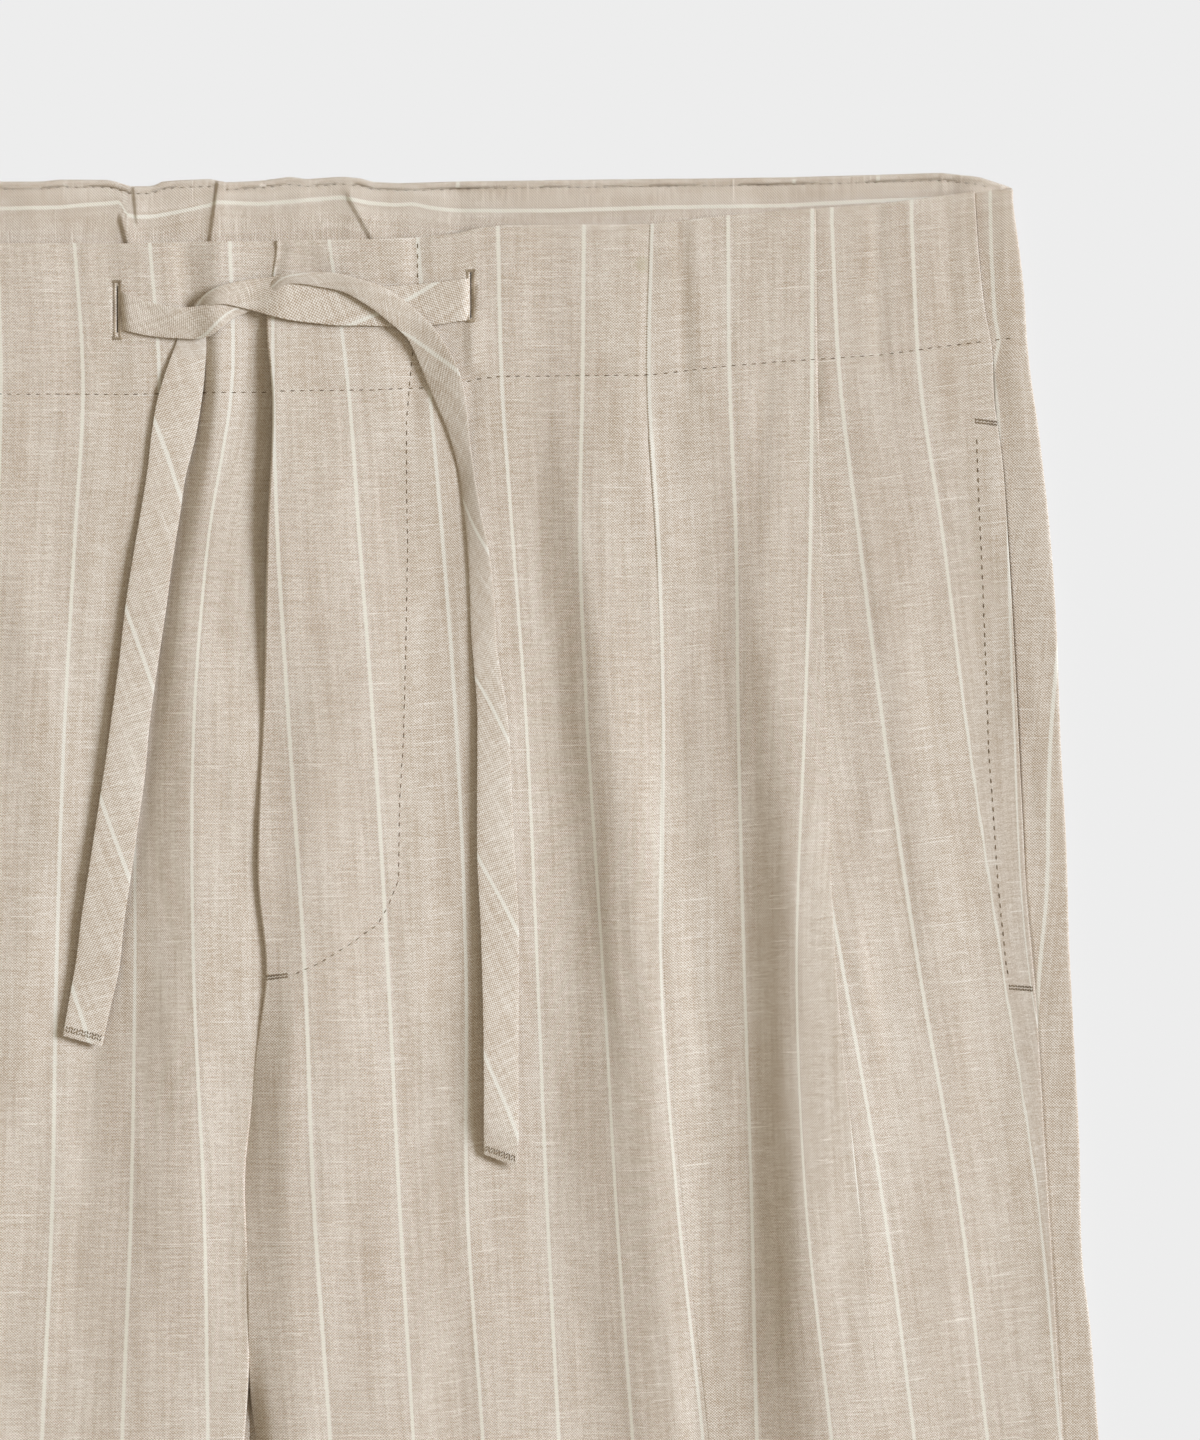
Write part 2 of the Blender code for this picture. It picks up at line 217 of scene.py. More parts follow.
@dataclass(frozen=True)
class Crease:
    """A short soft trough or ridge between two places, fading at both ends.

    A height below zero is a trough. The lean narrows the side towards the centre front when it is
    above zero, and the other side when it is below.
    """

    start: Point
    end: Point
    width: float
    height: float
    lean: float = 0.0
    fade: float = 0.35

    def at(self, across: np.ndarray, drop: np.ndarray) -> np.ndarray:
        """Height that the crease adds at each point.

        Args:
            across: Distance of each point from the centre front, outwards.
            drop: Drop of each point.

        Returns:
            What the crease adds to the height, which is below zero in a trough.
        """
        (x0, d0), (x1, d1) = self.start, self.end
        length = hypot(x1 - x0, d1 - d0)
        ux, ud = (x1 - x0) / length, (d1 - d0) / length
        along = ((across - x0) * ux + (drop - d0) * ud) / length
        beside = (across - x0) * ud - (drop - d0) * ux
        width = self.width * np.where(beside < 0, 1.0 - self.lean, 1.0 + self.lean)
        reach = smooth_step((along + self.fade) / self.fade)
        reach = reach * smooth_step((1.0 + self.fade - along) / self.fade)
        return self.height * groove(beside, width) * reach


@dataclass(frozen=True)
class Undulation:
    """The faint unevenness of cloth that has been worn, as a few seeded waves."""

    seed: int
    height: float = 0.07
    waves: int = 26
    shortest: float = 7.0
    longest: float = 42.0
    spread: float = 0.5
    drag: float = 0.6

    def at(self, across: np.ndarray, drop: np.ndarray) -> np.ndarray:
        """Height that the waves add at each point.

        Args:
            across: Distance of each point from the centre front, outwards.
            drop: Drop of each point.

        Returns:
            What the waves add to the height.
        """
        draw = np.random.RandomState(self.seed)
        total = np.zeros_like(across)
        for _ in range(self.waves):
            length = draw.uniform(self.shortest, self.longest)
            angle = draw.normal(0.0, self.spread)
            phase = draw.uniform(0.0, 2.0 * pi)
            way = np.cos(angle) * across + np.sin(angle) * drop * self.drag
            total += np.sin(2.0 * pi * way / length + phase) * (length / self.longest)
        return self.height * total


def grid_mesh(rows: int, columns: int) -> tuple[bmesh.types.BMesh, np.ndarray, np.ndarray]:
    """A flat grid to be laid as cloth.

    Args:
        rows: Rows of vertices, down the cloth.
        columns: Columns of vertices, across it.

    Returns:
        The grid, and the row and the column of each vertex.
    """
    bm = bmesh.new()
    bmesh.ops.create_grid(bm, x_segments=columns - 1, y_segments=rows - 1, size=0.5)
    bm.verts.ensure_lookup_table()
    bm.verts.index_update()
    flat = np.array([vert.co[:2] for vert in bm.verts])
    row = np.rint((0.5 - flat[:, 1]) * (rows - 1)).astype(int)
    return bm, row, np.rint((flat[:, 0] + 0.5) * (columns - 1)).astype(int)


def lay_cloth(bm: bmesh.types.BMesh, across: np.ndarray, drop: np.ndarray, height: np.ndarray,
              cloth: np.ndarray) -> None:
    """Put each vertex in its place, and write where it lies on the cloth to the UV map.

    Args:
        bm: The mesh.
        across: Distance of each vertex from the centre front.
        drop: Its drop from the back waist edge.
        height: Its height over what the garment lies on.
        cloth: Its distance along the weft and along the warp.
    """
    for vert, place in zip(bm.verts, np.column_stack([across, TOP - drop, SURFACE + height]) * MM):
        vert.co = place
    layer = bm.loops.layers.uv.new("cloth")
    for face in bm.faces:
        for loop in face.loops:
            loop[layer].uv = cloth[loop.vert.index] * MM


def finish_mesh(name: str, bm: bmesh.types.BMesh, material: bpy.types.Material,
                sharp: float | None = None) -> bpy.types.Object:
    """Turn a mesh under construction into an object of the scene.

    Args:
        name: Name of the object.
        bm: Its mesh, which is freed.
        material: Its material.
        sharp: Angle in degrees past which an edge is shaded sharp, if it is smooth at all.

    Returns:
        The object.
    """
    mesh = bpy.data.meshes.new(name)
    bm.to_mesh(mesh)
    bm.free()
    mesh.shade_smooth()
    if sharp:
        mesh.set_sharp_from_angle(angle=radians(sharp))
    mesh.materials.append(material)
    piece = bpy.data.objects.new(name, mesh)
    bpy.context.scene.collection.objects.link(piece)
    return piece


@dataclass(frozen=True)
class Roll:
    """How a cut edge turns under: radius and steps of the turn, and the flat tail after it."""

    radius: float
    steps: int
    tail: float
    squeeze: float = 0.0


@dataclass
class ClothGrid:
    """Places and cloth coordinates of a grid of cloth, in rows down and columns across."""

    across: np.ndarray
    drop: np.ndarray
    height: np.ndarray
    weft_way: np.ndarray
    warp_way: np.ndarray
    slits: tuple[Slit, ...] = ()
    slit_width: float = 0.4

    def build(self, name: str, thickness: float, material: bpy.types.Material) -> bpy.types.Object:
        """Make the grid a thin shell of cloth.

        Args:
            name: Name of the piece.
            thickness: Thickness of the cloth.
            material: Material of the piece.

        Returns:
            The piece, with its own UV map in metres of cloth.
        """
        bm, row, column = grid_mesh(*self.across.shape)
        layers = (self.across, self.drop, self.height, self.weft_way, -self.warp_way)
        across, drop, height, weft, warp = (layer[row, column] for layer in layers)
        lay_cloth(bm, across, drop, height, np.column_stack([weft, warp]))
        self.cut_slits(bm)
        piece = finish_mesh(name, bm, material, 55.0)
        wall = piece.modifiers.new("Cloth", "SOLIDIFY")
        wall.thickness = thickness * MM
        wall.offset = 0.0
        wall.use_even_offset = False
        return piece

    def cut_slits(self, bm: bmesh.types.BMesh) -> None:
        """Take out the faces at each slit, given as (across, first drop, last drop).

        Args:
            bm: The laid mesh, of which only the top layer is cut.
        """
        top_layer = REST_LEVEL - 1.4
        for across, first, last in self.slits:
            inside = []
            for face in bm.faces:
                centre = face.calc_center_median() / MM
                places = [vert.co.x / MM for vert in face.verts]
                in_line = min(places) <= across < max(places) and first < TOP - centre.y < last
                if in_line and centre.z > top_layer:
                    inside.append(face)
            for vert in {vert for face in inside for vert in face.verts}:
                side = 1.0 if vert.co.x / MM > across else -1.0
                vert.co.x = (across + side * self.slit_width / 2.0) * MM
            bmesh.ops.delete(bm, geom=inside, context="FACES")

    def rolled(self, row: int, roll: Roll, inward: np.ndarray) -> list["ClothGrid"]:
        """Rows that carry the cloth round an edge and back inside the garment.

        Args:
            row: The grid's first row, 0, or its last, -1.
            roll: Shape of the turn.
            inward: Direction into the garment at each column, as across and up.

        Returns:
            One-row grids, from the edge on.
        """
        way = 1.0 if row else -1.0
        rows = []
        for step in range(1, roll.steps + 2):
            turn = pi * min(step, roll.steps) / roll.steps
            last = step > roll.steps
            depth = roll.radius * (1.0 - cos(turn)) - (roll.squeeze if last else 0.0)
            tail = roll.tail if last else 0.0
            rows.append(ClothGrid(
                self.across[row][None] + inward[:, 0][None] * depth,
                self.drop[row][None] + way * (roll.radius * sin(turn) - tail),
                self.height[row][None] + inward[:, 1][None] * depth,
                self.weft_way[row][None], self.warp_way[row][None] + way * (roll.radius * turn + tail),
            ))
        return rows

    def closed(self, waist: Roll, hem: Roll, inward: np.ndarray, side: Side) -> "ClothGrid":
        """The grid with its waist edge and its hem turned in, on its own side of the wearer.

        Args:
            waist: Turn of the waist edge.
            hem: Turn of the hem.
            inward: Direction into the garment at each column, as across and up.
            side: Side of the wearer that the grid goes to.

        Returns:
            The closed grid.
        """
        rows = [*self.rolled(0, waist, inward)[::-1], self, *self.rolled(-1, hem, inward)]
        across, drop, height, weft, warp = (
            np.vstack([getattr(row, name) for row in rows])
            for name in ("across", "drop", "height", "weft_way", "warp_way")
        )
        slits = tuple((x * side.value, first, last) for x, first, last in self.slits)
        return ClothGrid(across * side.value, drop, height, weft * side.value, warp, slits)


def turned_edge(edge: np.ndarray, top: np.ndarray, steps: int, way: int, under: float,
                bulge: float) -> tuple[np.ndarray, ...]:
    """Columns of an edge that turns under itself, from the hidden end to the last one on top.

    Args:
        edge: Place of the edge on each row.
        top: Height of the cloth at the edge on each row.
        steps: Columns in the turn.
        way: 1 where the cloth lies beyond the edge, and -1 where it lies before it.
        under: How far the turned cloth reaches back.
        bulge: How far the turn stands out from the cloth above it.

    Returns:
        Places, heights and the length of cloth back from the edge, each with one column a step.
    """
    radius, gap = 0.42, 0.06
    places, heights, lengths = [], [], []
    for i in range(steps):
        if i < 2:
            reach = under * (1.0 - i / 2.0)
            places.append(edge + way * (radius + reach))
            heights.append(top - 2 * radius - gap)
            lengths.append(np.full_like(edge, -(reach + pi * radius)))
        else:
            turn = pi * (i - 1) / (steps - 1)
            places.append(edge + way * bulge * (1 - sin(turn)))
            heights.append(top - radius - radius * cos(turn))
            lengths.append(np.full_like(edge, -(pi - turn) * radius))
    return np.column_stack(places), np.column_stack(heights), np.column_stack(lengths)


STRIPE_LEVELS = (16.0, 64.0, 110.4, 158.4, 242.4, 308.4, 380.4, 543.0)
RELIEF_LEVELS = (34.0, 64.0, 101.0, 128.0, 166.0, 202.0, 229.0, 256.0, 290.0, 320.0, 350.0, 375.0, 543.0)
Stripes = tuple[tuple[int, Track], ...]


def stripe_track(*values: float) -> Track:
    """A track through the levels at which stripes are known."""
    return Track(STRIPE_LEVELS, values)


def stripes(first: int, *places: tuple[float, ...]) -> Stripes:
    """Stripes numbered on from the first, each with its place at every stripe level."""
    return tuple((first + i, stripe_track(*values)) for i, values in enumerate(places))


def creases(*rows: tuple[float, ...]) -> tuple[Crease, ...]:
    """Creases from rows of across and drop at the start and the end, width, height, lean and fade."""
    return tuple(Crease(row[:2], row[2:4], *row[4:]) for row in rows)


Columns = tuple[np.ndarray, np.ndarray, np.ndarray]     # places, heights and lengths across the cloth
Brink = tuple[np.ndarray, np.ndarray]                   # heights and lengths down one column of it


@dataclass(frozen=True)
class Pleat:
    """A knife pleat: its fold, how far its layers lie over each other, and how it settles.

    The sink is how far the bottom layer lies under the top one at the fold, by distance below the
    waist edge, and it is gone again at the recover distance from the fold. Where the depth is below
    zero the pleat has opened.
    """

    fold: Track
    depth: Track
    sink: Table
    recover: float


@dataclass
class FrontPanel:
    """A front of the shorts: casing, fly edge, two pleats, pocket mouth, inner leg and hem."""

    name: str
    side: Side
    node: str
    waist_edge: Table
    centre_edge: Track
    side_edge: Track
    pleats: tuple[Pleat, Pleat]
    part_stripes: tuple[Stripes, Stripes, Stripes]
    relief: Relief
    creases: tuple[Crease, ...]
    undulation: Undulation
    slits: tuple[Slit, ...]
    flat: Point = (0.335, 0.545)
    cut_area: float = 0.165
    centre_bulge: float = 0.42
    side_bulge: float = 0.05
    turned_under: float = 4.0
    shown_rows: float = 358.0
    row_steps: Point = (2.0, 5.2)
    waist_drop: float = 16.0
    casing_calm: float = 0.35
    pleat_sag: tuple[float, float] = (0.7, 1.2)
    casing_row: float = 45.6
    casing_dent: float = 0.34
    hem_row: float = 521.4
    hem_stitch_row: float = 497.0
    hem_dent: float = 0.3
    hem_rise: float = 0.5
    columns: tuple[int, int, int] = (86, 42, 44)
    turn_columns: int = 12
    edge_columns: int = 7
    edge_roll: Roll = Roll(0.5, 5, 5.0)

    def rows(self) -> np.ndarray:
        """Distance of each row of cloth below the waist edge, closer together where more shows.

        Returns:
            One distance for each row, from the waist down.
        """
        upper = np.arange(1.0, self.shown_rows, self.row_steps[0])
        lower = np.arange(self.shown_rows, self.hem_row - 2.0, self.row_steps[1])
        return np.concatenate([upper, lower, [self.hem_row - 1.2]])

    def on_rows(self, track: Track, rows: np.ndarray) -> np.ndarray:
        """Where a lengthwise track crosses each row of the weft, found in three rounds.

        Args:
            track: The lengthwise line.
            rows: Distance of each row below the waist edge.

        Returns:
            Place of the line on each row.
        """
        drop = rows + self.waist_drop + 4.0
        for _ in range(3):
            across = track.at(drop)
            drop = self.drop_at(across, rows)
        return across

    def drop_at(self, across: np.ndarray, rows: np.ndarray) -> np.ndarray:
        """Drop of the cloth at a place on each row."""
        return rows + read_table(self.waist_edge, across)

    def surface(self, across: np.ndarray, rows: np.ndarray) -> np.ndarray:
        """Height of the panel's outer surface, with its folds, creases and stitched lines.

        Args:
            across: Places on each row, in one or more columns.
            rows: Distance of each row below the waist edge.

        Returns:
            Height at each place.
        """
        if across.ndim > 1:
            rows = np.repeat(rows[:, None], across.shape[1], axis=1)
        drop = self.drop_at(across, rows)
        height = REST_LEVEL + self.relief.at(across, drop)
        for crease in self.creases:
            height = height + crease.at(across, drop)
        below_casing = smooth_step((rows - self.casing_row) / 30.0)
        uneven = self.casing_calm + (1.0 - self.casing_calm) * below_casing
        height = height + uneven * self.undulation.at(across, drop)
        height = height - self.casing_dent * groove(rows - self.casing_row, DENT_WIDTH)
        height = height - self.hem_dent * groove(rows - self.hem_stitch_row, DENT_WIDTH)
        return height + self.hem_rise * smooth_step((rows - self.hem_stitch_row + 3.0) / 6.0)

    def cloth_across(self, across: np.ndarray, part: Stripes, rows: np.ndarray) -> np.ndarray:
        """How far across the cloth each point lies, read from the stripes on its row.

        Args:
            across: Places on each row, one column each.
            part: Stripes of this part of the panel.
            rows: Distance of each row below the waist edge.

        Returns:
            Length along the weft at each place.
        """
        places = np.stack([self.on_rows(track, rows) for _, track in part], axis=1)
        lengths = np.array([number * STRIPE_PITCH for number, _ in part])
        result = np.empty_like(across)
        for r, place in enumerate(places):
            x = across[r]
            first = (lengths[1] - lengths[0]) / (place[1] - place[0])
            last = (lengths[-1] - lengths[-2]) / (place[-1] - place[-2])
            found = np.interp(x, place, lengths)
            found = np.where(x < place[0], lengths[0] + (x - place[0]) * first, found)
            result[r] = np.where(x > place[-1], lengths[-1] + (x - place[-1]) * last, found)
        return result

    def part(self, number: int, start: np.ndarray, end: np.ndarray, rows: np.ndarray) -> Columns:
        """Columns of a visible part of the panel, with two more close to each of its edges.

        Args:
            number: Which of the three parts it is, from the centre front.
            start: Place of its first column on each row.
            end: Place of its last column on each row.
            rows: Distance of each row below the waist edge.

        Returns:
            Places, heights and lengths across the cloth, one column each.
        """
        share = np.linspace(0.0, 1.0, self.columns[number] - 4)
        even = start[:, None] + (end - start)[:, None] * share
        beside = np.array([0.07, 0.4])
        across = np.hstack([even[:, :1], even[:, :1] + beside, even[:, 1:-1],
                            even[:, -1:] - beside[::-1], even[:, -1:]])
        cloth = self.cloth_across(across, self.part_stripes[number], rows)
        return across, self.surface(across, rows), cloth

    def pleat(self, fold: np.ndarray, depth: np.ndarray, over: Brink, under: Brink, rows: np.ndarray,
              way: int) -> Columns:
        """Hidden columns of a knife pleat, which open to a soft slope where it has no depth.

        Args:
            fold: Place of the fold on each row.
            depth: How far the layers lie over each other on each row.
            over: The top layer at the fold.
            under: The bottom layer as it comes out from under the fold.
            rows: Distance of each row below the waist edge.
            way: 1 where the cloth before the fold lies on top, and -1 where the cloth after it does.

        Returns:
            Places, heights and lengths across the cloth, one column each.
        """
        top, low = over[0], under[0]
        radius, count = (top - low) / 4.0, self.turn_columns
        half = count // 2
        opened = 1.0 - smooth_step((depth - 0.5) / 3.0)
        places, heights, sags = [], [], []
        for i in range(count):
            inward = min(1.0, (min(i, count - 1 - i) + 0.3) / (half - 1))
            x, z = -np.maximum(depth, 0.0) * inward - radius, top - 2.0 * radius
            if i >= half:
                x, z = x - radius, low
            t = (i + 1) / (count + 1)
            slope_x = -radius + (radius + np.maximum(-depth, 0.0)) * t
            slope_z = top + (low - top) * smooth_step(t)
            places.append(fold + way * (x * (1 - opened) + slope_x * opened))
            heights.append(z * (1 - opened) + slope_z * opened)
            sags.append(self.pleat_sag[i // half])
        across, height = np.column_stack(places[::way]), np.column_stack(heights[::way])
        ends = [over[1], under[1]][::way]
        share = np.arange(1, count + 1) / (count + 1)
        cloth = ends[0][:, None] + (ends[1] - ends[0])[:, None] * share
        bend = self.surface(across, rows) - self.surface(fold, rows)[:, None]
        sag = np.array(sags[::way]) * smooth_step(np.abs(across - fold[:, None]) / 2.5)
        return across, height + (bend - sag) * (1 - opened)[:, None], cloth

    def sunk(self, part: Columns, fold: np.ndarray, sink: np.ndarray, recover: float, way: int) -> Columns:
        """A part that goes down under a fold at its start, or at its end when way is -1.

        Args:
            part: Columns of the part.
            fold: Place of the fold on each row.
            sink: How far the part goes down at the fold on each row.
            recover: Distance from the fold at which it is up again.
            way: 1 where the part begins at the fold, and -1 where it ends there.

        Returns:
            The columns, lowered beside the fold.
        """
        share = 1.0 - smooth_step(way * (part[0] - fold[:, None]) / recover)
        return part[0], part[1] - sink[:, None] * share, part[2]

    def grid(self) -> ClothGrid:
        """The whole panel as one grid of cloth.

        Returns:
            The grid, on its own side of the wearer, with its waist edge and its hem turned in.
        """
        rows = self.rows()
        edge, side_edge = self.on_rows(self.centre_edge, rows), self.on_rows(self.side_edge, rows)
        first, second = (self.on_rows(pleat.fold, rows) for pleat in self.pleats)
        first_depth, second_depth = (pleat.depth.at(rows + self.waist_drop) for pleat in self.pleats)
        first_sink, second_sink = (read_table(pleat.sink, rows) for pleat in self.pleats)
        second_sink = second_sink * (1.0 - smooth_step(-second_depth / 6.0))
        start = second + np.maximum(-second_depth, 0.0)

        inner = self.part(0, edge + self.centre_bulge, first, rows)
        middle = self.part(1, first + first_sink / 4.0, second - second_sink / 4.0, rows)
        outer = self.part(2, start, side_edge - self.side_bulge, rows)
        inner = self.sunk(inner, first, first_sink, self.pleats[0].recover, -1)
        outer = self.sunk(outer, start, second_sink, self.pleats[1].recover, 1)

        centre = turned_edge(
            edge, inner[1][:, 0], self.edge_columns, 1, self.turned_under, self.centre_bulge)
        side = [columns[:, ::-1] for columns in turned_edge(
            side_edge, outer[1][:, -1], self.edge_columns, -1, self.turned_under, self.side_bulge)]
        centre = (centre[0], centre[1], inner[2][:, :1] + centre[2])
        side = (side[0], side[1], outer[2][:, -1:] - side[2])

        def brink(part: Columns, column: int) -> Brink:
            """A part's first or last column."""
            return part[1][:, column], part[2][:, column]

        first_pleat = self.pleat(first, first_depth, brink(middle, 0), brink(inner, -1), rows, -1)
        second_pleat = self.pleat(second, second_depth, brink(middle, -1), brink(outer, 0), rows, 1)
        parts = (centre, inner, first_pleat, middle, second_pleat, outer, side)
        across, height, cloth = (np.hstack(columns) for columns in zip(*parts))
        below = np.repeat(rows[:, None], across.shape[1], axis=1)
        grid = ClothGrid(across, self.drop_at(across, below), height, cloth, below, self.slits)
        down = np.tile((0.0, -1.0), (across.shape[1], 1))
        return grid.closed(self.edge_roll, self.edge_roll, down, self.side)


@dataclass
class BackPanel:
    """A back of the shorts, from the centre back seam round the side to the front's side seam."""

    name: str
    side: Side
    node: str
    waist_edge: Table
    front_edge: Table
    centre_edge: Track
    outline: Track
    side_edge: Track
    outline_cloth: Track
    creases: tuple[Crease, ...]
    undulation: Undulation
    slits: tuple[Slit, ...] = ()
    flat: Point = (0.300, 0.560)
    cut_area: float = 0.145
    length: float = 540.0
    level: float = 0.45
    wrap_level: float = 4.3
    wrap_edge: Table = ((200.0, 8.2), (214.0, 6.0), (220.0, 5.5), (225.0, 4.9), (262.0, 4.9))
    side_bulge: float = 0.25
    seam_dip: Point = (0.45, 0.18)
    wrap_tilt: Point = (1.3, 0.3)
    tuck: float = 6.0
    hem_row: float = 521.4
    stitched_rows: tuple[float, ...] = (45.6, 497.0)
    stitched_dent: float = 0.2
    columns: tuple[int, int, int] = (96, 14, 18)
    beside_seam: tuple[float, ...] = (1.1, 0.75, 0.45, 0.2, -0.1, -0.6, -1.6, -3.5, -6.0)
    waist_roll: Roll = Roll(0.75, 6, 1.0, 0.1)
    hem_roll: Roll = Roll(0.5, 6, 1.0, 0.1)

    def outside(self, drop: np.ndarray) -> tuple[np.ndarray, np.ndarray, np.ndarray]:
        """The panel's cross-section on each row, from the centre back round to the front's side seam.

        Args:
            drop: Drop of each row.

        Returns:
            Places and heights with one column each, and each column's way into the garment.
        """
        start, outline = self.centre_edge.at(drop), self.outline.at(drop)
        seam = self.side_edge.at(drop)
        end = seam - self.tuck
        radius, turn_start = (self.wrap_level - self.level) / 2.0, outline - self.side_bulge
        flat, turn, wrap = self.columns
        places, heights, inward = [], [], []
        for i in range(flat):
            places.append(start + (turn_start - start) * (i / (flat - 1)))
            heights.append(np.full_like(drop, self.level))
            inward.append((0.0, 1.0))
        for i in range(1, turn):
            a = -pi / 2 + pi * i / turn
            places.append(turn_start + self.side_bulge * cos(a))
            heights.append(np.full_like(drop, self.level + radius + radius * sin(a)))
            inward.append((-cos(a), -sin(a)))
        high, low = self.wrap_tilt
        tilt = high + (low - high) * smooth_step((drop - 100.0) / 150.0)
        high, low = self.seam_dip
        seam_dip = high + (low - high) * smooth_step((drop - 150.0) / 100.0)
        before_seam = [turn_start + (seam + 1.6 - turn_start) * i / (wrap - 1) for i in range(wrap)]
        for place in before_seam + [seam + off for off in self.beside_seam]:
            dip = seam_dip * smooth_step(1.0 - (place - seam - 0.15) / 0.6)
            share = (turn_start - place) / (turn_start - end)
            places.append(place)
            heights.append(self.wrap_level - tilt * smooth_step((share - 0.15) * 1.35) - dip)
            inward.append((0.0, -1.0))
        return np.column_stack(places), np.column_stack(heights), np.array(inward)

    def grid(self) -> ClothGrid:
        """The whole panel as one grid of cloth.

        Returns:
            The grid, on its own side of the wearer, with its waist edge and its hem turned in.
        """
        share = np.concatenate([np.linspace(0.0022, 0.1, 24)[:-1], np.linspace(0.1, 0.992, 150), [0.9975]])
        drop = share * self.length
        across, height, inward = self.outside(drop)
        steps = np.hypot(np.diff(across, axis=1), np.diff(height, axis=1))
        length = np.hstack([np.zeros((len(drop), 1)), np.cumsum(steps, axis=1)])
        outermost = self.columns[0] + self.columns[1] // 2
        cloth = self.outline_cloth.at(drop)[:, None] + length - length[:, outermost:outermost + 1]
        on_top = (1.0 - inward[:, 1]) / 2.0
        top = read_table(self.waist_edge, across)
        top = top + (read_table(self.wrap_edge, across) - top) * on_top
        warp = (self.hem_row + read_table(self.front_edge, across) - top) * share[:, None]
        drop = top + warp
        lift = sum(crease.at(across, drop) for crease in self.creases)
        lift = lift + 0.6 * np.abs(self.undulation.at(across, drop))
        for row in self.stitched_rows:
            lift = lift - self.stitched_dent * groove(warp - row, DENT_WIDTH)
        # On top the creases may go down a little; underneath they only rise from what the back lies on.
        lift = np.where(on_top > 0.5, np.maximum(lift, -0.25), np.clip(lift, -0.1, 1.2))
        grid = ClothGrid(across, drop, height + lift, cloth, warp, self.slits)
        return grid.closed(self.waist_roll, self.hem_roll, inward, self.side)


@dataclass
class WaistFacing:
    """The facing inside the back waist, cut across the cloth, so its stripe runs along the waist.

    Its columns are close together at the folds, where the cloth goes under itself.
    """

    name: str
    node: str
    waist_edge: Table
    stripe: Table
    ends: Point
    creases: tuple[Crease, ...]
    undulation: Undulation
    flat: Point = (0.442, 0.045)
    cut_area: float = 0.442 * 0.045 * 0.98
    level: float = 2.05
    lowest: float = 1.45
    inset: float = 0.5
    depth: float = 46.0
    edge_rise: float = 0.3
    stitch_row: float = 2.5
    stitch_dent: float = 0.2
    columns: int = 300
    folds: tuple[float, ...] = (-40.0, -14.3, 27.6, 33.6, 204.4)

    def grid(self) -> ClothGrid:
        """The facing as one grid of cloth.

        Returns:
            The grid, whose warp runs along the waist.
        """
        close = [np.linspace(x - 3.4, x + 3.4, 26) for x in self.folds]
        across = np.unique(np.concatenate([np.linspace(*self.ends, self.columns), *close]))
        share = np.concatenate([np.linspace(0.0, 0.5, 26), np.linspace(0.5, 1.0, 14)[1:]])
        across, below = np.meshgrid(across, self.inset + (self.depth - self.inset) * share)
        drop = below + read_table(self.waist_edge, across)
        height = np.full_like(across, self.level)
        for crease in self.creases:
            height = height + crease.at(across, drop)
        height = height + self.undulation.at(across, drop)
        height = height - self.stitch_dent * groove(below - self.stitch_row, 0.9)
        height = height + self.edge_rise * (1.0 - smooth_step((below - self.inset) / 1.6))
        stripe = drop - read_table(self.stripe, across)
        return ClothGrid(across, drop, np.maximum(height, self.lowest), stripe, across)


@dataclass(frozen=True)
class StrapPlace:
    """A place on a drawstring strand.

    It says where the strand's two edges are, how high it stands over what it lies on, and how far
    its second edge is lifted over its middle.
    """

    first: Point
    second: Point
    rise: float
    lift: float = 0.0


def strap_course(*rows: tuple[float, ...]) -> tuple[StrapPlace, ...]:
    """Strap places from rows of across and drop at the first and the second edge, rise and lift."""
    return tuple(StrapPlace(row[:2], row[2:4], *row[4:]) for row in rows)


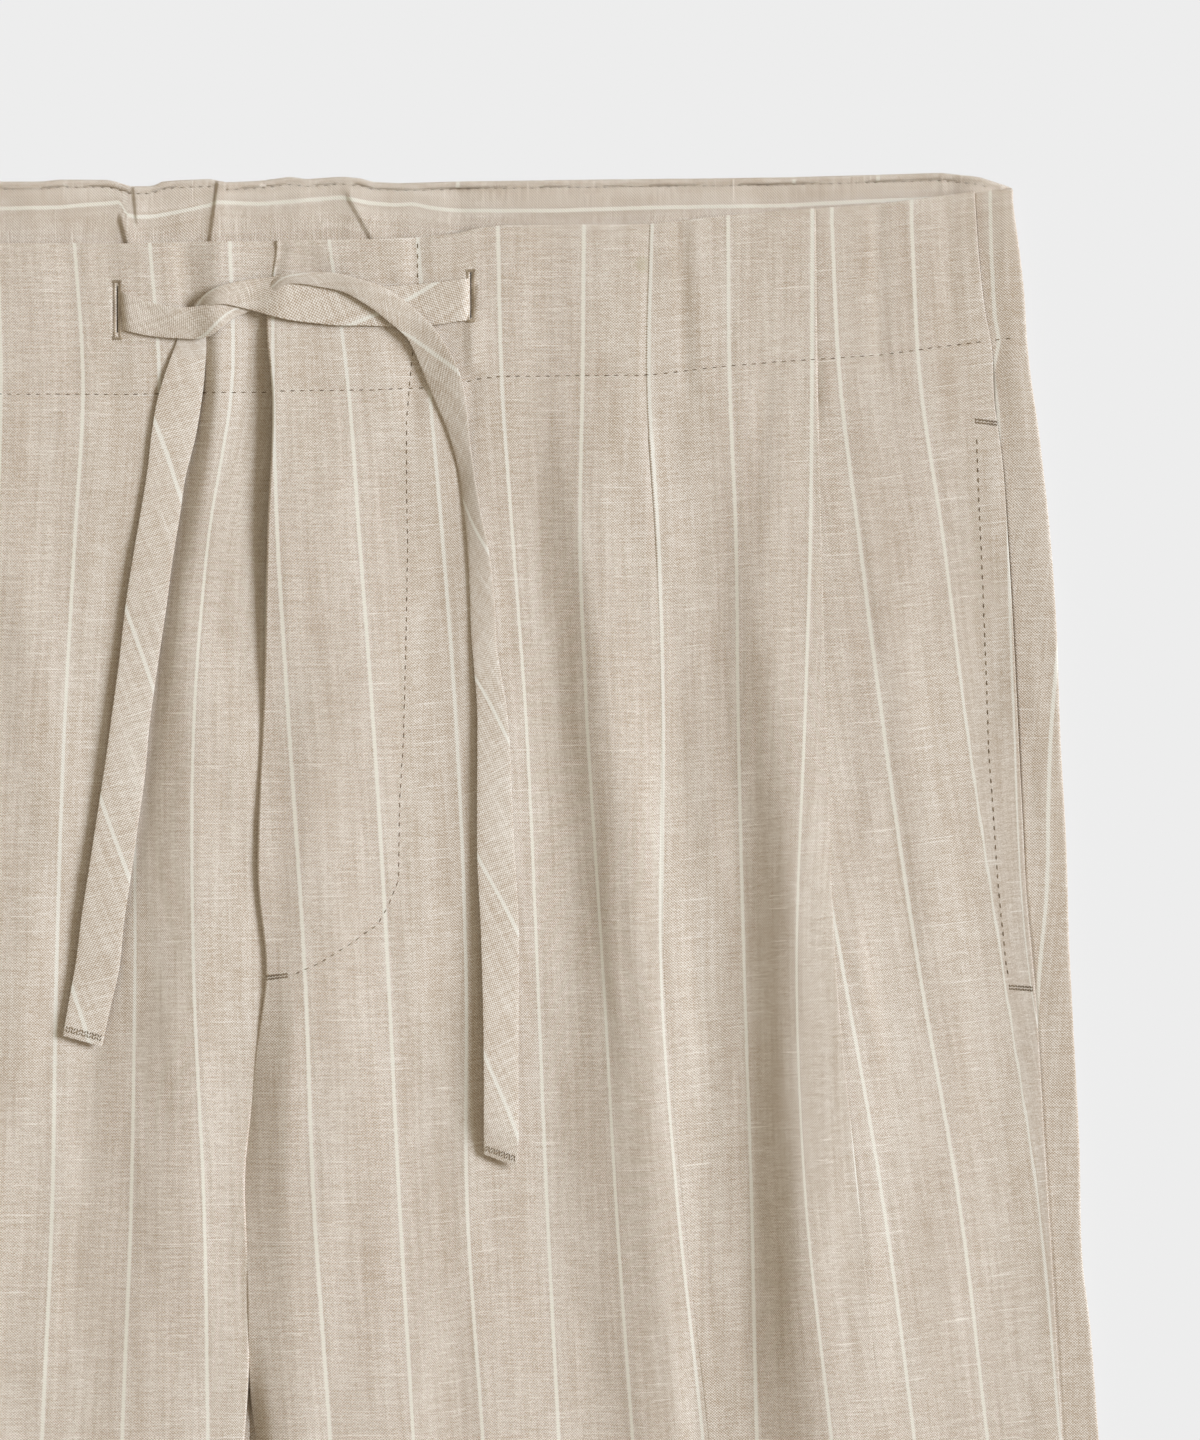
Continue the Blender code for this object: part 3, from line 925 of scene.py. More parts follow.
@dataclass
class Strand:
    """One strand of the drawstring, a flat strap of linen cut on the bias, with a free end."""

    name: str
    node: str
    places: tuple[StrapPlace, ...]
    stripe_at: float
    lean: float
    drawn: Table
    width: float = 11.4
    thickness: float = 0.82
    crown: float = 0.1
    bias: float = 26.0
    around: int = 20
    step: float = 1.6
    edge_roundness: float = 0.42
    face_flatness: float = 0.3
    end_share: float = 0.25
    end_length: float = 1.2
    outside: tuple[Vector, ...] = ()
    length: float = 0.0

    def course(self) -> np.ndarray:
        """Edges, rise and lift of the strand at even steps along it, six numbers to a row.

        Returns:
            One row for each step: across and drop of the first edge and of the second, rise and lift.
        """
        knots = np.array([[*place.first, *place.second, place.rise, place.lift] for place in self.places])
        chord = length_along((knots[:, 0:2] + knots[:, 2:4]) / 2.0, 0.2)
        at = np.linspace(0.0, chord[-1], int(chord[-1] / self.step))
        return np.column_stack([smooth_curve(at, chord, values) for values in knots.T])

    def laid(self, course: np.ndarray, ground: Callable[[np.ndarray, np.ndarray], np.ndarray]
             ) -> tuple[np.ndarray, np.ndarray]:
        """Height of the strand's middle and its tilt at each step, eased over what lies under it.

        Args:
            course: The strand's steps, six numbers to a row.
            ground: Function of across and drop that gives the height of the cloth there.

        Returns:
            Height of the middle, and how far the second edge stands above it, at each step.
        """
        first, second = course[:, 0:2], course[:, 2:4]
        under = np.stack([ground(*(first * (1 - t) + second * t).T) for t in (0.15, 0.5, 0.85)])
        kernel = np.hanning(9) / np.hanning(9).sum()

        def eased(values: np.ndarray) -> np.ndarray:
            """The values averaged with their neighbours."""
            return np.convolve(np.pad(values, 4, mode="edge"), kernel, mode="valid")

        return eased(under.max(axis=0)) + course[:, 4], eased((under[2] - under[0]) * 0.35) + course[:, 5]

    def build(self, ground: Callable[[np.ndarray, np.ndarray], np.ndarray],
              material: bpy.types.Material) -> bpy.types.Object:
        """Lay the strand on the shorts as a closed soft strap.

        Args:
            ground: Function of across and drop that gives the height of the cloth there.
            material: The strap's linen.

        Returns:
            The strand.
        """
        course = self.course()
        first, second = course[:, 0:2], course[:, 2:4]
        middle, half = (first + second) / 2.0, (second - first) / 2.0
        centre_height, tilt = self.laid(course, ground)
        along = length_along(middle)
        bm, row, column = grid_mesh(len(course), self.around + 1)

        turn = 2.0 * pi * column / self.around
        beside = np.sign(np.cos(turn)) * np.abs(np.cos(turn)) ** self.edge_roundness
        above = np.sign(np.sin(turn)) * np.abs(np.sin(turn)) ** self.face_flatness
        to_end = along[-1] - along[row]
        soft_end = np.minimum(1.0, self.end_share + to_end / self.end_length)
        # Where the strap is drawn together it is as much thicker.
        drawn_in = 1.0 - np.clip(2.0 * np.hypot(*half[row].T) / self.width, 0.0, 1.0)
        thickness = self.thickness * (1.0 + 0.35 * drawn_in) * soft_end
        place = middle[row] + half[row] * beside[:, None]
        height = centre_height[row] + tilt[row] * beside + self.crown * (1.0 - beside**2)
        height += above * thickness / 2.0

        from_end = read_table(self.drawn, to_end) - self.stripe_at
        girth = self.lean * np.where(above >= 0, beside, 2.0 - beside) * self.width / 2.0
        slant = radians(self.bias)
        weft = from_end * sin(slant) + girth * cos(slant)
        warp = from_end * cos(slant) - girth * sin(slant)
        lay_cloth(bm, place[:, 0], place[:, 1], height, np.column_stack([weft, warp]))
        bmesh.ops.remove_doubles(bm, verts=bm.verts, dist=0.00001)
        bmesh.ops.holes_fill(bm, edges=[edge for edge in bm.edges if edge.is_boundary], sides=0)
        bmesh.ops.recalc_face_normals(bm, faces=bm.faces)
        centre = np.column_stack([middle, centre_height])[::4]
        self.outside = tuple(Vector((x * MM, (TOP - d) * MM, (SURFACE + z) * MM)) for x, d, z in centre)
        self.length = sum((b - a).length for a, b in zip(self.outside, self.outside[1:]))
        return finish_mesh(self.name, bm, material, 50.0)


def linear(colour: str) -> tuple[float, float, float, float]:
    """Linear RGBA of an sRGB hex colour such as "CEC1B2".

    Args:
        colour: Six hex digits.

    Returns:
        Linear red, green and blue, and an alpha of 1.
    """
    channels = [int(colour[i:i + 2], 16) / 255.0 for i in (0, 2, 4)]
    curve = [c / 12.92 if c <= 0.04045 else ((c + 0.055) / 1.055) ** 2.4 for c in channels]
    return (*curve, 1.0)


def new_material(name: str, **values: object) -> tuple[bpy.types.Material, bpy.types.Node]:
    """Start a material.

    Args:
        name: Name of the material.
        values: Values of the shader's inputs by name, with a _ for each space.

    Returns:
        The material and its shader.
    """
    material = bpy.data.materials.new(name)
    material.use_nodes = True
    shader = material.node_tree.nodes["Principled BSDF"]
    for key, value in values.items():
        shader.inputs[key.replace("_", " ")].default_value = value
    return material, shader


def add_node(tree: bpy.types.NodeTree, kind: str, settings: dict | None = None,
             inputs: dict | None = None) -> bpy.types.Node:
    """Add a node with its settings, values and links.

    Args:
        tree: Node tree that gets the node.
        kind: Node type, such as "ShaderNodeMath".
        settings: Properties of the node by name.
        inputs: Input by name or number, each a value or another node's output socket.

    Returns:
        The new node.
    """
    node = tree.nodes.new(kind)
    for key, value in (settings or {}).items():
        setattr(node, key, value)
    for key, value in (inputs or {}).items():
        if isinstance(value, bpy.types.NodeSocket):
            tree.links.new(value, node.inputs[key])
        else:
            node.inputs[key].default_value = value
    return node


@dataclass(frozen=True)
class Unevenness:
    """Noise in the threads: cycles per millimetre along the weft and the warp, detail, seed and share."""

    along_weft: float
    along_warp: float
    detail: float
    seed: float
    share: float


@dataclass(frozen=True)
class StripedLinen:
    """Plain-woven linen in a taupe and off-white melange with an ivory stripe in the warp.

    Flax gives dull matt threads of uneven thickness, so the cloth shows short bright slubs along the
    weft, faint darker streaks along the warp, and hardly any gloss. Lengths are millimetres.
    """

    name: str
    shade: str = "B09C85"
    light: str = "E3DACE"
    ivory: str = "EAE5D8"
    stain: str = "A9A178"
    stripe_half_width: float = 0.58
    stripe_softness: float = 0.22
    stripe_fraying: Unevenness = Unevenness(0.9, 0.8, 1.0, 53.0, 0.55)
    # The real threads lie 0.4 mm apart; the weave is drawn a little over twice as coarse, to show.
    weave_pitch: float = 0.84
    weave_share: float = 0.62
    grain: Unevenness = Unevenness(2.0, 2.2, 1.0, 3.1, 1.55)
    weft_tone: Unevenness = Unevenness(1.0 / 9.0, 1.9, 1.5, 11.7, 0.75)
    fine_weft: Unevenness = Unevenness(0.5, 2.1, 1.0, 17.3, 0.6)
    warp_tone: Unevenness = Unevenness(0.62, 1.0 / 40.0, 2.0, 23.9, 0.72)
    broad_tone: Unevenness = Unevenness(0.11, 0.022, 2.0, 31.3, 0.42)
    slubs: Unevenness = Unevenness(1.0 / 17.0, 1.8, 0.0, 41.0, 0.45)
    slub_start: float = 0.2
    slub_gain: float = 8.0
    # The weft is beaten a little closer than the warp is set.
    weft_closeness: float = 1.06
    tone_range: Point = (-0.1, 1.15)
    stripe_cover: float = 0.88
    stripe_beads: Point = (0.94, 0.05)
    stain_cover: float = 0.28
    roughness: float = 0.9
    specular: float = 0.2
    sheen: float = 0.06
    sheen_roughness: float = 0.6
    weave_relief: float = 0.9
    grain_relief: float = 1.2
    slub_relief: float = 0.6
    bump_strength: float = 0.45
    bump_height: float = 0.12
    stains: tuple[tuple[float, float, float], ...] = ()

    def build(self) -> bpy.types.Material:
        """Make the linen from the cloth coordinates of the piece, which are metres along its threads.

        Returns:
            The material.
        """
        material, shader = new_material(
            self.name, Roughness=self.roughness, Specular_IOR_Level=self.specular,
            Sheen_Weight=self.sheen, Sheen_Roughness=self.sheen_roughness)
        tree = material.node_tree
        cloth = add_node(tree, "ShaderNodeUVMap", {"uv_map": "cloth"})
        scaled = add_node(tree, "ShaderNodeVectorMath", {"operation": "SCALE"},
                          {0: cloth.outputs[0], "Scale": 1.0 / MM})
        ways = add_node(tree, "ShaderNodeSeparateXYZ", inputs={0: scaled.outputs[0]})
        weft_way, warp_way = ways.outputs["X"], ways.outputs["Y"]

        def math(operation: str, first: object, second: object = 0.0, clamp: bool = False) -> object:
            """Output of a Math node."""
            return add_node(tree, "ShaderNodeMath", {"operation": operation, "use_clamp": clamp},
                            {0: first, 1: second}).outputs[0]

        def total(terms: Sequence[tuple[object, float]], start: object) -> object:
            """The start with each term's value times its share added.

            Args:
                terms: Pairs of an output socket and its share.
                start: What the terms are added to.

            Returns:
                Output socket of the sum.
            """
            for value, share in terms:
                start = math("ADD", start, math("MULTIPLY", value, share))
            return start

        def noise(kind: Unevenness) -> object:
            """Noise about 0, stretched over the cloth.

            Args:
                kind: Size of the noise along the threads, its detail and its seed.

            Returns:
                Output socket of the noise.
            """
            place = add_node(tree, "ShaderNodeCombineXYZ", inputs={
                0: math("MULTIPLY", weft_way, kind.along_weft),
                1: math("MULTIPLY", warp_way, kind.along_warp), 2: kind.seed})
            cell = add_node(tree, "ShaderNodeTexNoise", {"noise_dimensions": "3D"}, {
                "Vector": place.outputs[0], "Scale": 1.0, "Detail": kind.detail, "Roughness": 0.6})
            return math("SUBTRACT", cell.outputs["Fac"], 0.5)

        def blend(factor: object, under: object, over: object) -> object:
            """Colour between two colours."""
            return add_node(tree, "ShaderNodeMix", {"data_type": "RGBA", "clamp_factor": False},
                            {"Factor": factor, "A": under, "B": over}).outputs["Result"]

        def fading(value: object, start: float, end: float, most: float) -> object:
            """From nothing at the start to the most at the end, on a soft S.

            Args:
                value: Output socket that is read.
                start: Value at which there is nothing.
                end: Value at which there is the most.
                most: The most.

            Returns:
                Output socket of the result.
            """
            return add_node(tree, "ShaderNodeMapRange", {"interpolation_type": "SMOOTHSTEP"},
                            {"Value": value, "From Min": start, "From Max": end, "To Min": 0.0,
                             "To Max": most}).outputs[0]

        grain, weft_tone = noise(self.grain), noise(self.weft_tone)
        slub = math("SUBTRACT", noise(self.slubs), self.slub_start)
        slub = math("MULTIPLY", slub, self.slub_gain, True)
        turn = 2.0 * pi / self.weave_pitch
        weave = math("MULTIPLY", math("SINE", math("MULTIPLY", weft_way, turn)),
                     math("SINE", math("MULTIPLY", warp_way, turn * self.weft_closeness)))
        tones = [(noise(kind), kind.share) for kind in (self.fine_weft, self.warp_tone, self.broad_tone)]
        tone = total([(grain, self.grain.share), (weft_tone, self.weft_tone.share), *tones,
                      (weave, self.weave_share), (slub, self.slubs.share)], 0.5)
        tone = math("MAXIMUM", math("MINIMUM", tone, self.tone_range[1]), self.tone_range[0])
        colour = blend(tone, linear(self.shade), linear(self.light))

        repeats = math("DIVIDE", weft_way, STRIPE_PITCH)
        off = math("ABSOLUTE", math("SUBTRACT", repeats, math("ROUND", repeats)))
        off = math("MULTIPLY", off, STRIPE_PITCH)
        frayed = total([(noise(self.stripe_fraying), self.stripe_fraying.share)], off)
        stripe = fading(frayed, self.stripe_half_width + self.stripe_softness,
                        self.stripe_half_width - self.stripe_softness, self.stripe_cover)
        mean, swing = self.stripe_beads
        beads = total([(math("SINE", math("MULTIPLY", warp_way, turn)), swing)], mean)
        ivory = blend(beads, (0.0, 0.0, 0.0, 1.0), linear(self.ivory))
        colour = blend(stripe, colour, ivory)
        for across, down, size in self.stains:
            reach = math("ADD", math("POWER", math("SUBTRACT", weft_way, across), 2.0),
                         math("POWER", math("ADD", warp_way, down), 2.0))
            colour = blend(fading(reach, size * size, 0.0, self.stain_cover), colour, linear(self.stain))
        tree.links.new(colour, shader.inputs["Base Color"])

        relief = total([(math("ADD", grain, weft_tone), self.grain_relief), (slub, self.slub_relief)],
                       math("MULTIPLY", weave, self.weave_relief))
        bump = add_node(tree, "ShaderNodeBump", inputs={
            "Height": relief, "Strength": self.bump_strength, "Distance": self.bump_height * MM})
        tree.links.new(bump.outputs[0], shader.inputs["Normal"])
        return material


@dataclass(frozen=True)
class SewingThread:
    """Core-spun polyester thread in taupe: two plies twisted together, with a soft low gloss."""

    name: str = "taupe_thread"
    colour: str = "857359"
    # Painted shade, for the grooves between the twisted plies.
    shade: str = "6A5A45"
    ply_length: float = 0.8

    def build(self) -> bpy.types.Material:
        """Make the thread, with its twist drawn as fine bands of painted shade between the plies.

        Returns:
            The material.
        """
        material, shader = new_material(self.name, Roughness=0.6, Specular_IOR_Level=0.3)
        tree = material.node_tree
        place = add_node(tree, "ShaderNodeTexCoord")
        twist = add_node(tree, "ShaderNodeTexWave", {"bands_direction": "DIAGONAL"},
                         {"Vector": place.outputs["Object"], "Scale": 1.0 / (self.ply_length * MM * 20.0),
                          "Distortion": 1.5, "Detail": 1.0})
        # The thread's own colour, blended in bands with painted shade where the plies meet.
        colour = add_node(tree, "ShaderNodeMix", {"data_type": "RGBA"},
                          {"Factor": twist.outputs["Fac"], "A": linear(self.shade),
                           "B": linear(self.colour)})
        tree.links.new(colour.outputs["Result"], shader.inputs["Base Color"])
        return material


class Ground:
    """The outer surface of pieces that are already laid, found by looking down or up at them."""

    def __init__(self, pieces: Sequence[bpy.types.Object], from_above: bool = True) -> None:
        """Take the finished meshes of the pieces.

        Args:
            pieces: Pieces that make the surface.
            from_above: Whether to look down at them, or up from beneath.
        """
        self.way = -1.0 if from_above else 1.0
        self.start = 40.0 if from_above else -5.0
        depsgraph = bpy.context.evaluated_depsgraph_get()
        bm = bmesh.new()
        for piece in pieces:
            bm.from_mesh(piece.evaluated_get(depsgraph).to_mesh())
            piece.evaluated_get(depsgraph).to_mesh_clear()
        self.tree = BVHTree.FromBMesh(bm)
        bm.free()

    def height(self, across: float, drop: float) -> float:
        """Height of the surface at a place, in millimetres above what the garment lies on.

        Args:
            across: Distance of the place from the centre front.
            drop: Its drop from the back waist edge.

        Returns:
            The height, or the fronts' rest level where there is no cloth.
        """
        origin = Vector((across * MM, (TOP - drop) * MM, (SURFACE + self.start) * MM))
        hit = self.tree.ray_cast(origin, Vector((0.0, 0.0, self.way)))[0]
        return REST_LEVEL if hit is None else hit.z / MM - SURFACE

    def heights(self, across: np.ndarray, drop: np.ndarray) -> np.ndarray:
        """Height of the surface at many places."""
        return np.array([self.height(x, d) for x, d in zip(across, drop)])


@dataclass(frozen=True)
class Stitch:
    """Size of one stitch on the surface, how far apart stitches start, and how uneven they are."""

    length: float = 1.75
    width: float = 0.4
    pitch: float = 2.95
    proud: float = -0.01
    slip: float = 0.12
    aside: float = 0.09
    pitch_spread: float = 0.04


@dataclass(frozen=True)
class Tack:
    """A bar tack: length of its stitches across its line, and how close, wide and uneven they are."""

    reach: float
    spacing: float
    width: float = 0.34
    proud: float = 0.05
    halves: Point = (0.42, 0.56)
    lean: float = 0.35


@dataclass
class Stitching:
    """A group of stitch rows and tacks sewn in one thread."""

    name: str
    material: bpy.types.Material
    seed: int
    bm: bmesh.types.BMesh = field(default_factory=bmesh.new)
    draw: np.random.RandomState = field(init=False)

    def __post_init__(self) -> None:
        """Start the group's own run of uneven numbers."""
        self.draw = np.random.RandomState(self.seed)

    def stitch(self, ground: Ground, start: Point, end: Point, size: Stitch | Tack) -> None:
        """Lay one stitch between two places on a surface.

        Args:
            ground: The surface.
            start: Across and drop of one end.
            end: Across and drop of the other.
            size: Width of the stitch and how proud it stands.
        """
        ends = [Vector((x, TOP - d, ground.height(x, d) + SURFACE - ground.way * size.proud))
                for x, d in (start, end)]
        middle, along = (ends[0] + ends[1]) / 2.0, ends[1] - ends[0]
        place = along.to_track_quat("X", "Z").to_matrix().to_4x4()
        place.translation = middle * MM
        made = bmesh.ops.create_icosphere(self.bm, subdivisions=1, radius=1.0)["verts"]
        bmesh.ops.scale(self.bm, vec=Vector((along.length, size.width, size.width)) / 2.0 * MM, verts=made)
        bmesh.ops.transform(self.bm, matrix=place, verts=made)

    def row(self, ground: Ground, course: Table, size: Stitch = Stitch()) -> None:
        """Sew a row of even stitches along a course of (across, drop) places.

        Args:
            ground: The surface it is sewn on.
            course: The places.
            size: Size, pitch and unevenness of the stitches.
        """
        points = np.array(course)
        chord = length_along(points)
        at = 0.6
        while at + size.length < chord[-1]:
            slip = self.draw.uniform(-size.slip, size.slip)
            start, end = (tuple(np.interp(at + slip + reach, chord, values) for values in points.T)
                          for reach in (0.0, size.length))
            aside = self.draw.uniform(-size.aside, size.aside)
            self.stitch(ground, start, (end[0] + aside, end[1] + aside), size)
            at += size.pitch * self.draw.uniform(1.0 - size.pitch_spread, 1.0 + size.pitch_spread)

    def tack(self, ground: Ground, start: Point, end: Point, size: Tack) -> None:
        """Sew a bar tack: close stitches across the line between two places.

        Args:
            ground: The surface it is sewn on.
            start: Across and drop of one end of the line.
            end: Across and drop of the other.
            size: Size and spacing of the stitches.
        """
        length = hypot(end[0] - start[0], end[1] - start[1])
        ux, ud = (end[0] - start[0]) / length, (end[1] - start[1]) / length
        for i in range(int(length / size.spacing) + 1):
            x, d = start[0] + ux * size.spacing * i, start[1] + ud * size.spacing * i
            long = size.reach * self.draw.uniform(*size.halves)
            lean = size.spacing * size.lean * (1 if i % 2 else -1)
            self.stitch(ground, (x - ud * long - ux * lean, d + ux * long - ud * lean),
                        (x + ud * long + ux * lean, d - ux * long + ud * lean), size)

    def double_tack(self, ground: Ground, start: Point, end: Point) -> None:
        """Sew a bar tack as two thin rows side by side."""
        for off in (-0.45, 0.45):
            self.tack(ground, (start[0], start[1] + off), (end[0], end[1] + off), Tack(0.8, 0.52))

    def finish(self) -> bpy.types.Object:
        """Make the group one piece."""
        return place_piece(finish_mesh(self.name, self.bm, self.material))


@dataclass(frozen=True)
class Studio:
    """A pale floor, a soft lamp from the wearer's left and even light from all round.

    The lamp and the fill add up to white on a flat surface. Angles are degrees; the floor's size,
    the frame's width and the camera's distance are metres.
    """

    floor_colour: str = "EDEDED"
    floor_glow: float = 0.88
    fill: tuple[float, float, float] = (0.455, 0.41, 0.33)
    lamp_height: float = 32.0
    lamp_turn: float = 14.0
    lamp_softness: float = 24.0
    floor_size: float = 6.0
    frame_width: float = 0.36
    frame_middle: Point = (101.4, 164.4)
    distance: float = 3.0

    def build(self) -> None:
        """Make the floor, the lights and the camera."""
        self.build_floor()
        self.build_lights()
        self.build_camera()

    def build_floor(self) -> None:
        """Lay a floor under the garment, which glows a little so that it stays even and pale."""
        colour = linear(self.floor_colour)
        matt = (*[part * (1.0 - self.floor_glow) for part in colour[:3]], 1.0)
        material, _ = new_material("studio_floor", Base_Color=matt, Emission_Color=colour,
                                   Emission_Strength=self.floor_glow, Roughness=1.0, Specular_IOR_Level=0.0)
        bm = bmesh.new()
        bmesh.ops.create_grid(bm, x_segments=1, y_segments=1, size=self.floor_size / 2.0)
        bmesh.ops.translate(bm, verts=bm.verts, vec=(0.0, 0.0, SURFACE * MM))
        finish_mesh("floor", bm, material)

    def build_lights(self) -> None:
        """Light the scene so that a flat matt surface comes out at its own colour."""
        world = bpy.data.worlds.new("studio")
        world.use_nodes = True
        background = world.node_tree.nodes["Background"]
        background.inputs["Color"].default_value = (*self.fill, 1.0)
        background.inputs["Strength"].default_value = 1.0
        bpy.context.scene.world = world
        height, turn = radians(self.lamp_height), radians(self.lamp_turn)
        lamp = bpy.data.lights.new("soft_lamp", "SUN")
        lamp.energy = pi / sin(height)
        lamp.color = tuple(1.0 - share for share in self.fill)
        lamp.angle = radians(self.lamp_softness)
        towards = Vector((cos(height) * cos(turn), cos(height) * sin(turn), sin(height)))
        lamp_object = bpy.data.objects.new("soft_lamp", lamp)
        lamp_object.rotation_euler = towards.to_track_quat("Z", "Y").to_euler()
        bpy.context.scene.collection.objects.link(lamp_object)

    def build_camera(self) -> None:
        """Look straight down at the waist and the wearer's left front."""
        camera = bpy.data.cameras.new("camera")
        camera.type = "PERSP"
        camera.sensor_fit = "HORIZONTAL"
        camera.sensor_width = 36.0
        camera.lens = camera.sensor_width * self.distance / self.frame_width
        camera.clip_end = 20.0
        camera_object = bpy.data.objects.new("camera", camera)
        across, drop = self.frame_middle
        camera_object.location = (across * MM, (TOP - drop) * MM, self.distance)
        bpy.context.scene.collection.objects.link(camera_object)
        bpy.context.scene.camera = camera_object
        bpy.context.scene.view_settings.view_transform = "Standard"


def place_piece(piece: bpy.types.Object, node: str = "") -> bpy.types.Object:
    """Attach a piece to the garment's body and hide the CAD part that it replaces.

    Args:
        piece: The finished piece.
        node: CAD node that it replaces, if it does.

    Returns:
        The same piece.
    """
    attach(piece, BODY)
    if node:
        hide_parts(node)
    LOG.info("%s: %d faces", piece.name, len(piece.data.polygons))
    return piece


LEFT_WAIST: Table = (
    (-35.0, 20.4), (0.0, 20.4), (33.0, 20.0), (47.0, 19.4), (58.0, 18.4), (65.0, 16.6), (72.0, 15.9),
    (116.0, 15.5), (131.0, 13.8), (142.0, 12.6), (155.0, 11.5), (172.0, 10.4), (186.0, 9.4), (200.0, 7.5),
    (215.0, 5.6), (229.0, 3.8), (262.0, 0.0),
)
RIGHT_WAIST: Table = (
    (-35.0, 20.2), (0.0, 20.6), (18.0, 20.8), (41.0, 21.3), (79.0, 21.2), (97.0, 19.8), (116.0, 16.6),
    (131.0, 14.4), (155.0, 11.8), (172.0, 10.6), (200.0, 7.6), (215.0, 5.6), (229.0, 3.8), (262.0, 0.0),
)
BACK_LEFT_WAIST: Table = (
    (-5.0, 2.2), (-2.1, 2.6), (4.0, 1.9), (8.7, 1.2), (13.2, 2.0), (24.0, 1.2), (30.0, 1.8), (33.0, 2.8),
    (41.4, 3.2), (58.2, 2.7), (101.4, 2.1), (131.4, 1.8), (154.5, 1.5), (185.0, 0.7), (203.4, 0.1),
    (214.8, 1.3), (221.4, 3.4), (225.0, 4.6), (262.0, 5.4),
)
BACK_RIGHT_WAIST: Table = (
    (-5.0, 1.8), (2.1, 2.6), (11.4, 2.9), (15.0, 1.9), (24.9, 2.3), (29.7, 2.7), (32.7, 4.1), (39.6, 4.1),
    (42.0, 3.3), (45.6, 2.2), (60.3, 2.1), (65.7, 2.7), (79.0, 2.7), (100.0, 2.2), (131.0, 1.6), (160.0, 1.9),
    (185.0, 0.8), (203.0, 0.1), (215.0, 1.3), (222.0, 3.6), (225.0, 4.6), (262.0, 5.4),
)
FACING_WAIST: Table = tuple((-x, d) for x, d in reversed(BACK_RIGHT_WAIST[1:])) + BACK_LEFT_WAIST[1:]
FACING_STRIPE: Table = (
    (-230.0, 8.5), (-185.0, 9.5), (-130.0, 11.0), (-100.0, 11.4), (-78.6, 11.1), (-60.6, 10.7), (-51.9, 9.9),
    (-43.2, 9.2), (-42.3, 9.6), (-40.2, 13.0), (-38.1, 13.6), (-32.7, 13.5), (-24.6, 12.0), (-16.2, 10.2),
    (-14.7, 9.6), (-12.6, 9.2), (-0.6, 9.7), (10.5, 8.8), (24.0, 7.7), (32.4, 9.5), (41.4, 10.0), (45.0, 9.6),
    (50.4, 10.8), (58.2, 11.7), (88.8, 11.7), (115.8, 10.8), (155.4, 10.2), (184.8, 8.7), (203.0, 8.1),
    (230.0, 7.5),
)

FLAP_EDGE = Track(
    (24.0, 44.0, 67.0, 107.0, 158.0, 189.0, 212.0, 242.0, 260.0, 280.0, 297.0, 337.0, 364.0, 380.0, 543.0),
    (4.5, 1.8, 3.5, 2.1, 0.9, -0.5, -0.9, 1.5, -0.9, -3.3, -5.2, -4.1, -3.5, -1.8, 3.9),
)
UNDERLAP_EDGE = Track(
    (16.0, 64.0, 158.5, 215.0, 232.0, 244.0, 260.0, 280.0, 297.0, 337.0, 364.0, 380.0, 543.0),
    (-30.0, -30.0, -27.0, -16.0, -7.0, -1.8, 0.6, 3.0, 4.9, 3.8, 4.2, 5.3, 11.4),
)
LEFT_BACK_CENTRE = Track((0.0, 242.0, 300.0, 363.0, 383.0, 543.0), (1.4, 1.4, -3.8, -3.8, -3.9, 4.1))
RIGHT_BACK_CENTRE = Track((0.0, 242.0, 300.0, 363.0, 383.0, 543.0), (-1.1, -1.1, 4.1, 3.7, 3.7, 11.0))
FIRST_FOLD = stripe_track(116.3, 115.35, 118.1, 119.6, 120.6, 126.0, 134.0, 147.0)
SECOND_FOLD = stripe_track(165.9, 166.5, 167.7, 168.9, 172.2, 178.8, 185.4, 196.0)
FIRST_DEPTH = stripe_track(15.0, 15.0, 13.0, 11.4, 12.6, 14.0, 15.5, 9.0)
SECOND_DEPTH = stripe_track(22.0, 21.3, 18.0, 14.0, 6.6, 2.6, -1.0, -24.0)
SIDE_EDGE = Track(
    (7.0, 28.0, 43.0, 52.0, 69.0, 86.0, 111.0, 136.0, 156.0, 181.0, 199.0, 217.0, 243.0, 291.0, 329.0, 380.0,
     543.0),
    (213.4, 214.9, 216.7, 218.4, 219.3, 221.6, 223.4, 224.9, 225.9, 227.1, 228.0, 228.9, 231.3, 234.3, 236.7,
     239.7, 248.7),
)
OUTLINE = Track(
    (4.8, 32.0, 50.0, 79.0, 115.0, 134.0, 173.0, 205.0, 235.0, 262.0, 299.0, 337.0, 356.0, 380.0, 543.0),
    (225.0, 228.3, 229.4, 233.1, 236.7, 237.9, 239.3, 241.0, 241.8, 243.1, 244.9, 246.0, 248.2, 249.9, 261.4),
)
OUTLINE_CLOTH = Track((5.0, 27.0, 40.0, 47.0, 57.0, 64.0, 136.0, 193.0, 223.0, 243.0, 380.0, 543.0),
                      (218.8, 216.7, 216.5, 217.2, 214.5, 214.5, 201.6, 195.6, 193.8, 191.3, 181.0, 172.0))

LEFT_INNER = stripes(
    0,
    (3.6, 3.6, 4.95, 7.8, 13.2, 15.75, 20.7, 30.5),
    (19.5, 25.95, 29.4, 33.0, 38.1, 41.4, 45.6, 54.0),
    (46.5, 50.25, 54.3, 57.9, 61.35, 61.5, 66.3, 74.4),
    (70.8, 72.0, 75.3, 78.9, 82.8, 85.5, 89.1, 97.8),
    (96.6, 96.15, 95.4, 97.2, 102.6, 106.2, 111.3, 124.2),
    (121.8, 121.2, 119.4, 120.3, 119.7, 124.5, 132.3, 143.0),
)
LEFT_MIDDLE = stripes(
    6,
    (117.0, 116.1, 118.9, 120.3, 119.7, 121.8, 123.3, 132.0),
    (139.8, 140.25, 142.2, 142.8, 144.9, 147.0, 148.5, 156.9),
    (165.0, 164.85, 164.4, 162.9, 160.2, 162.9, 170.7, 185.4),
)
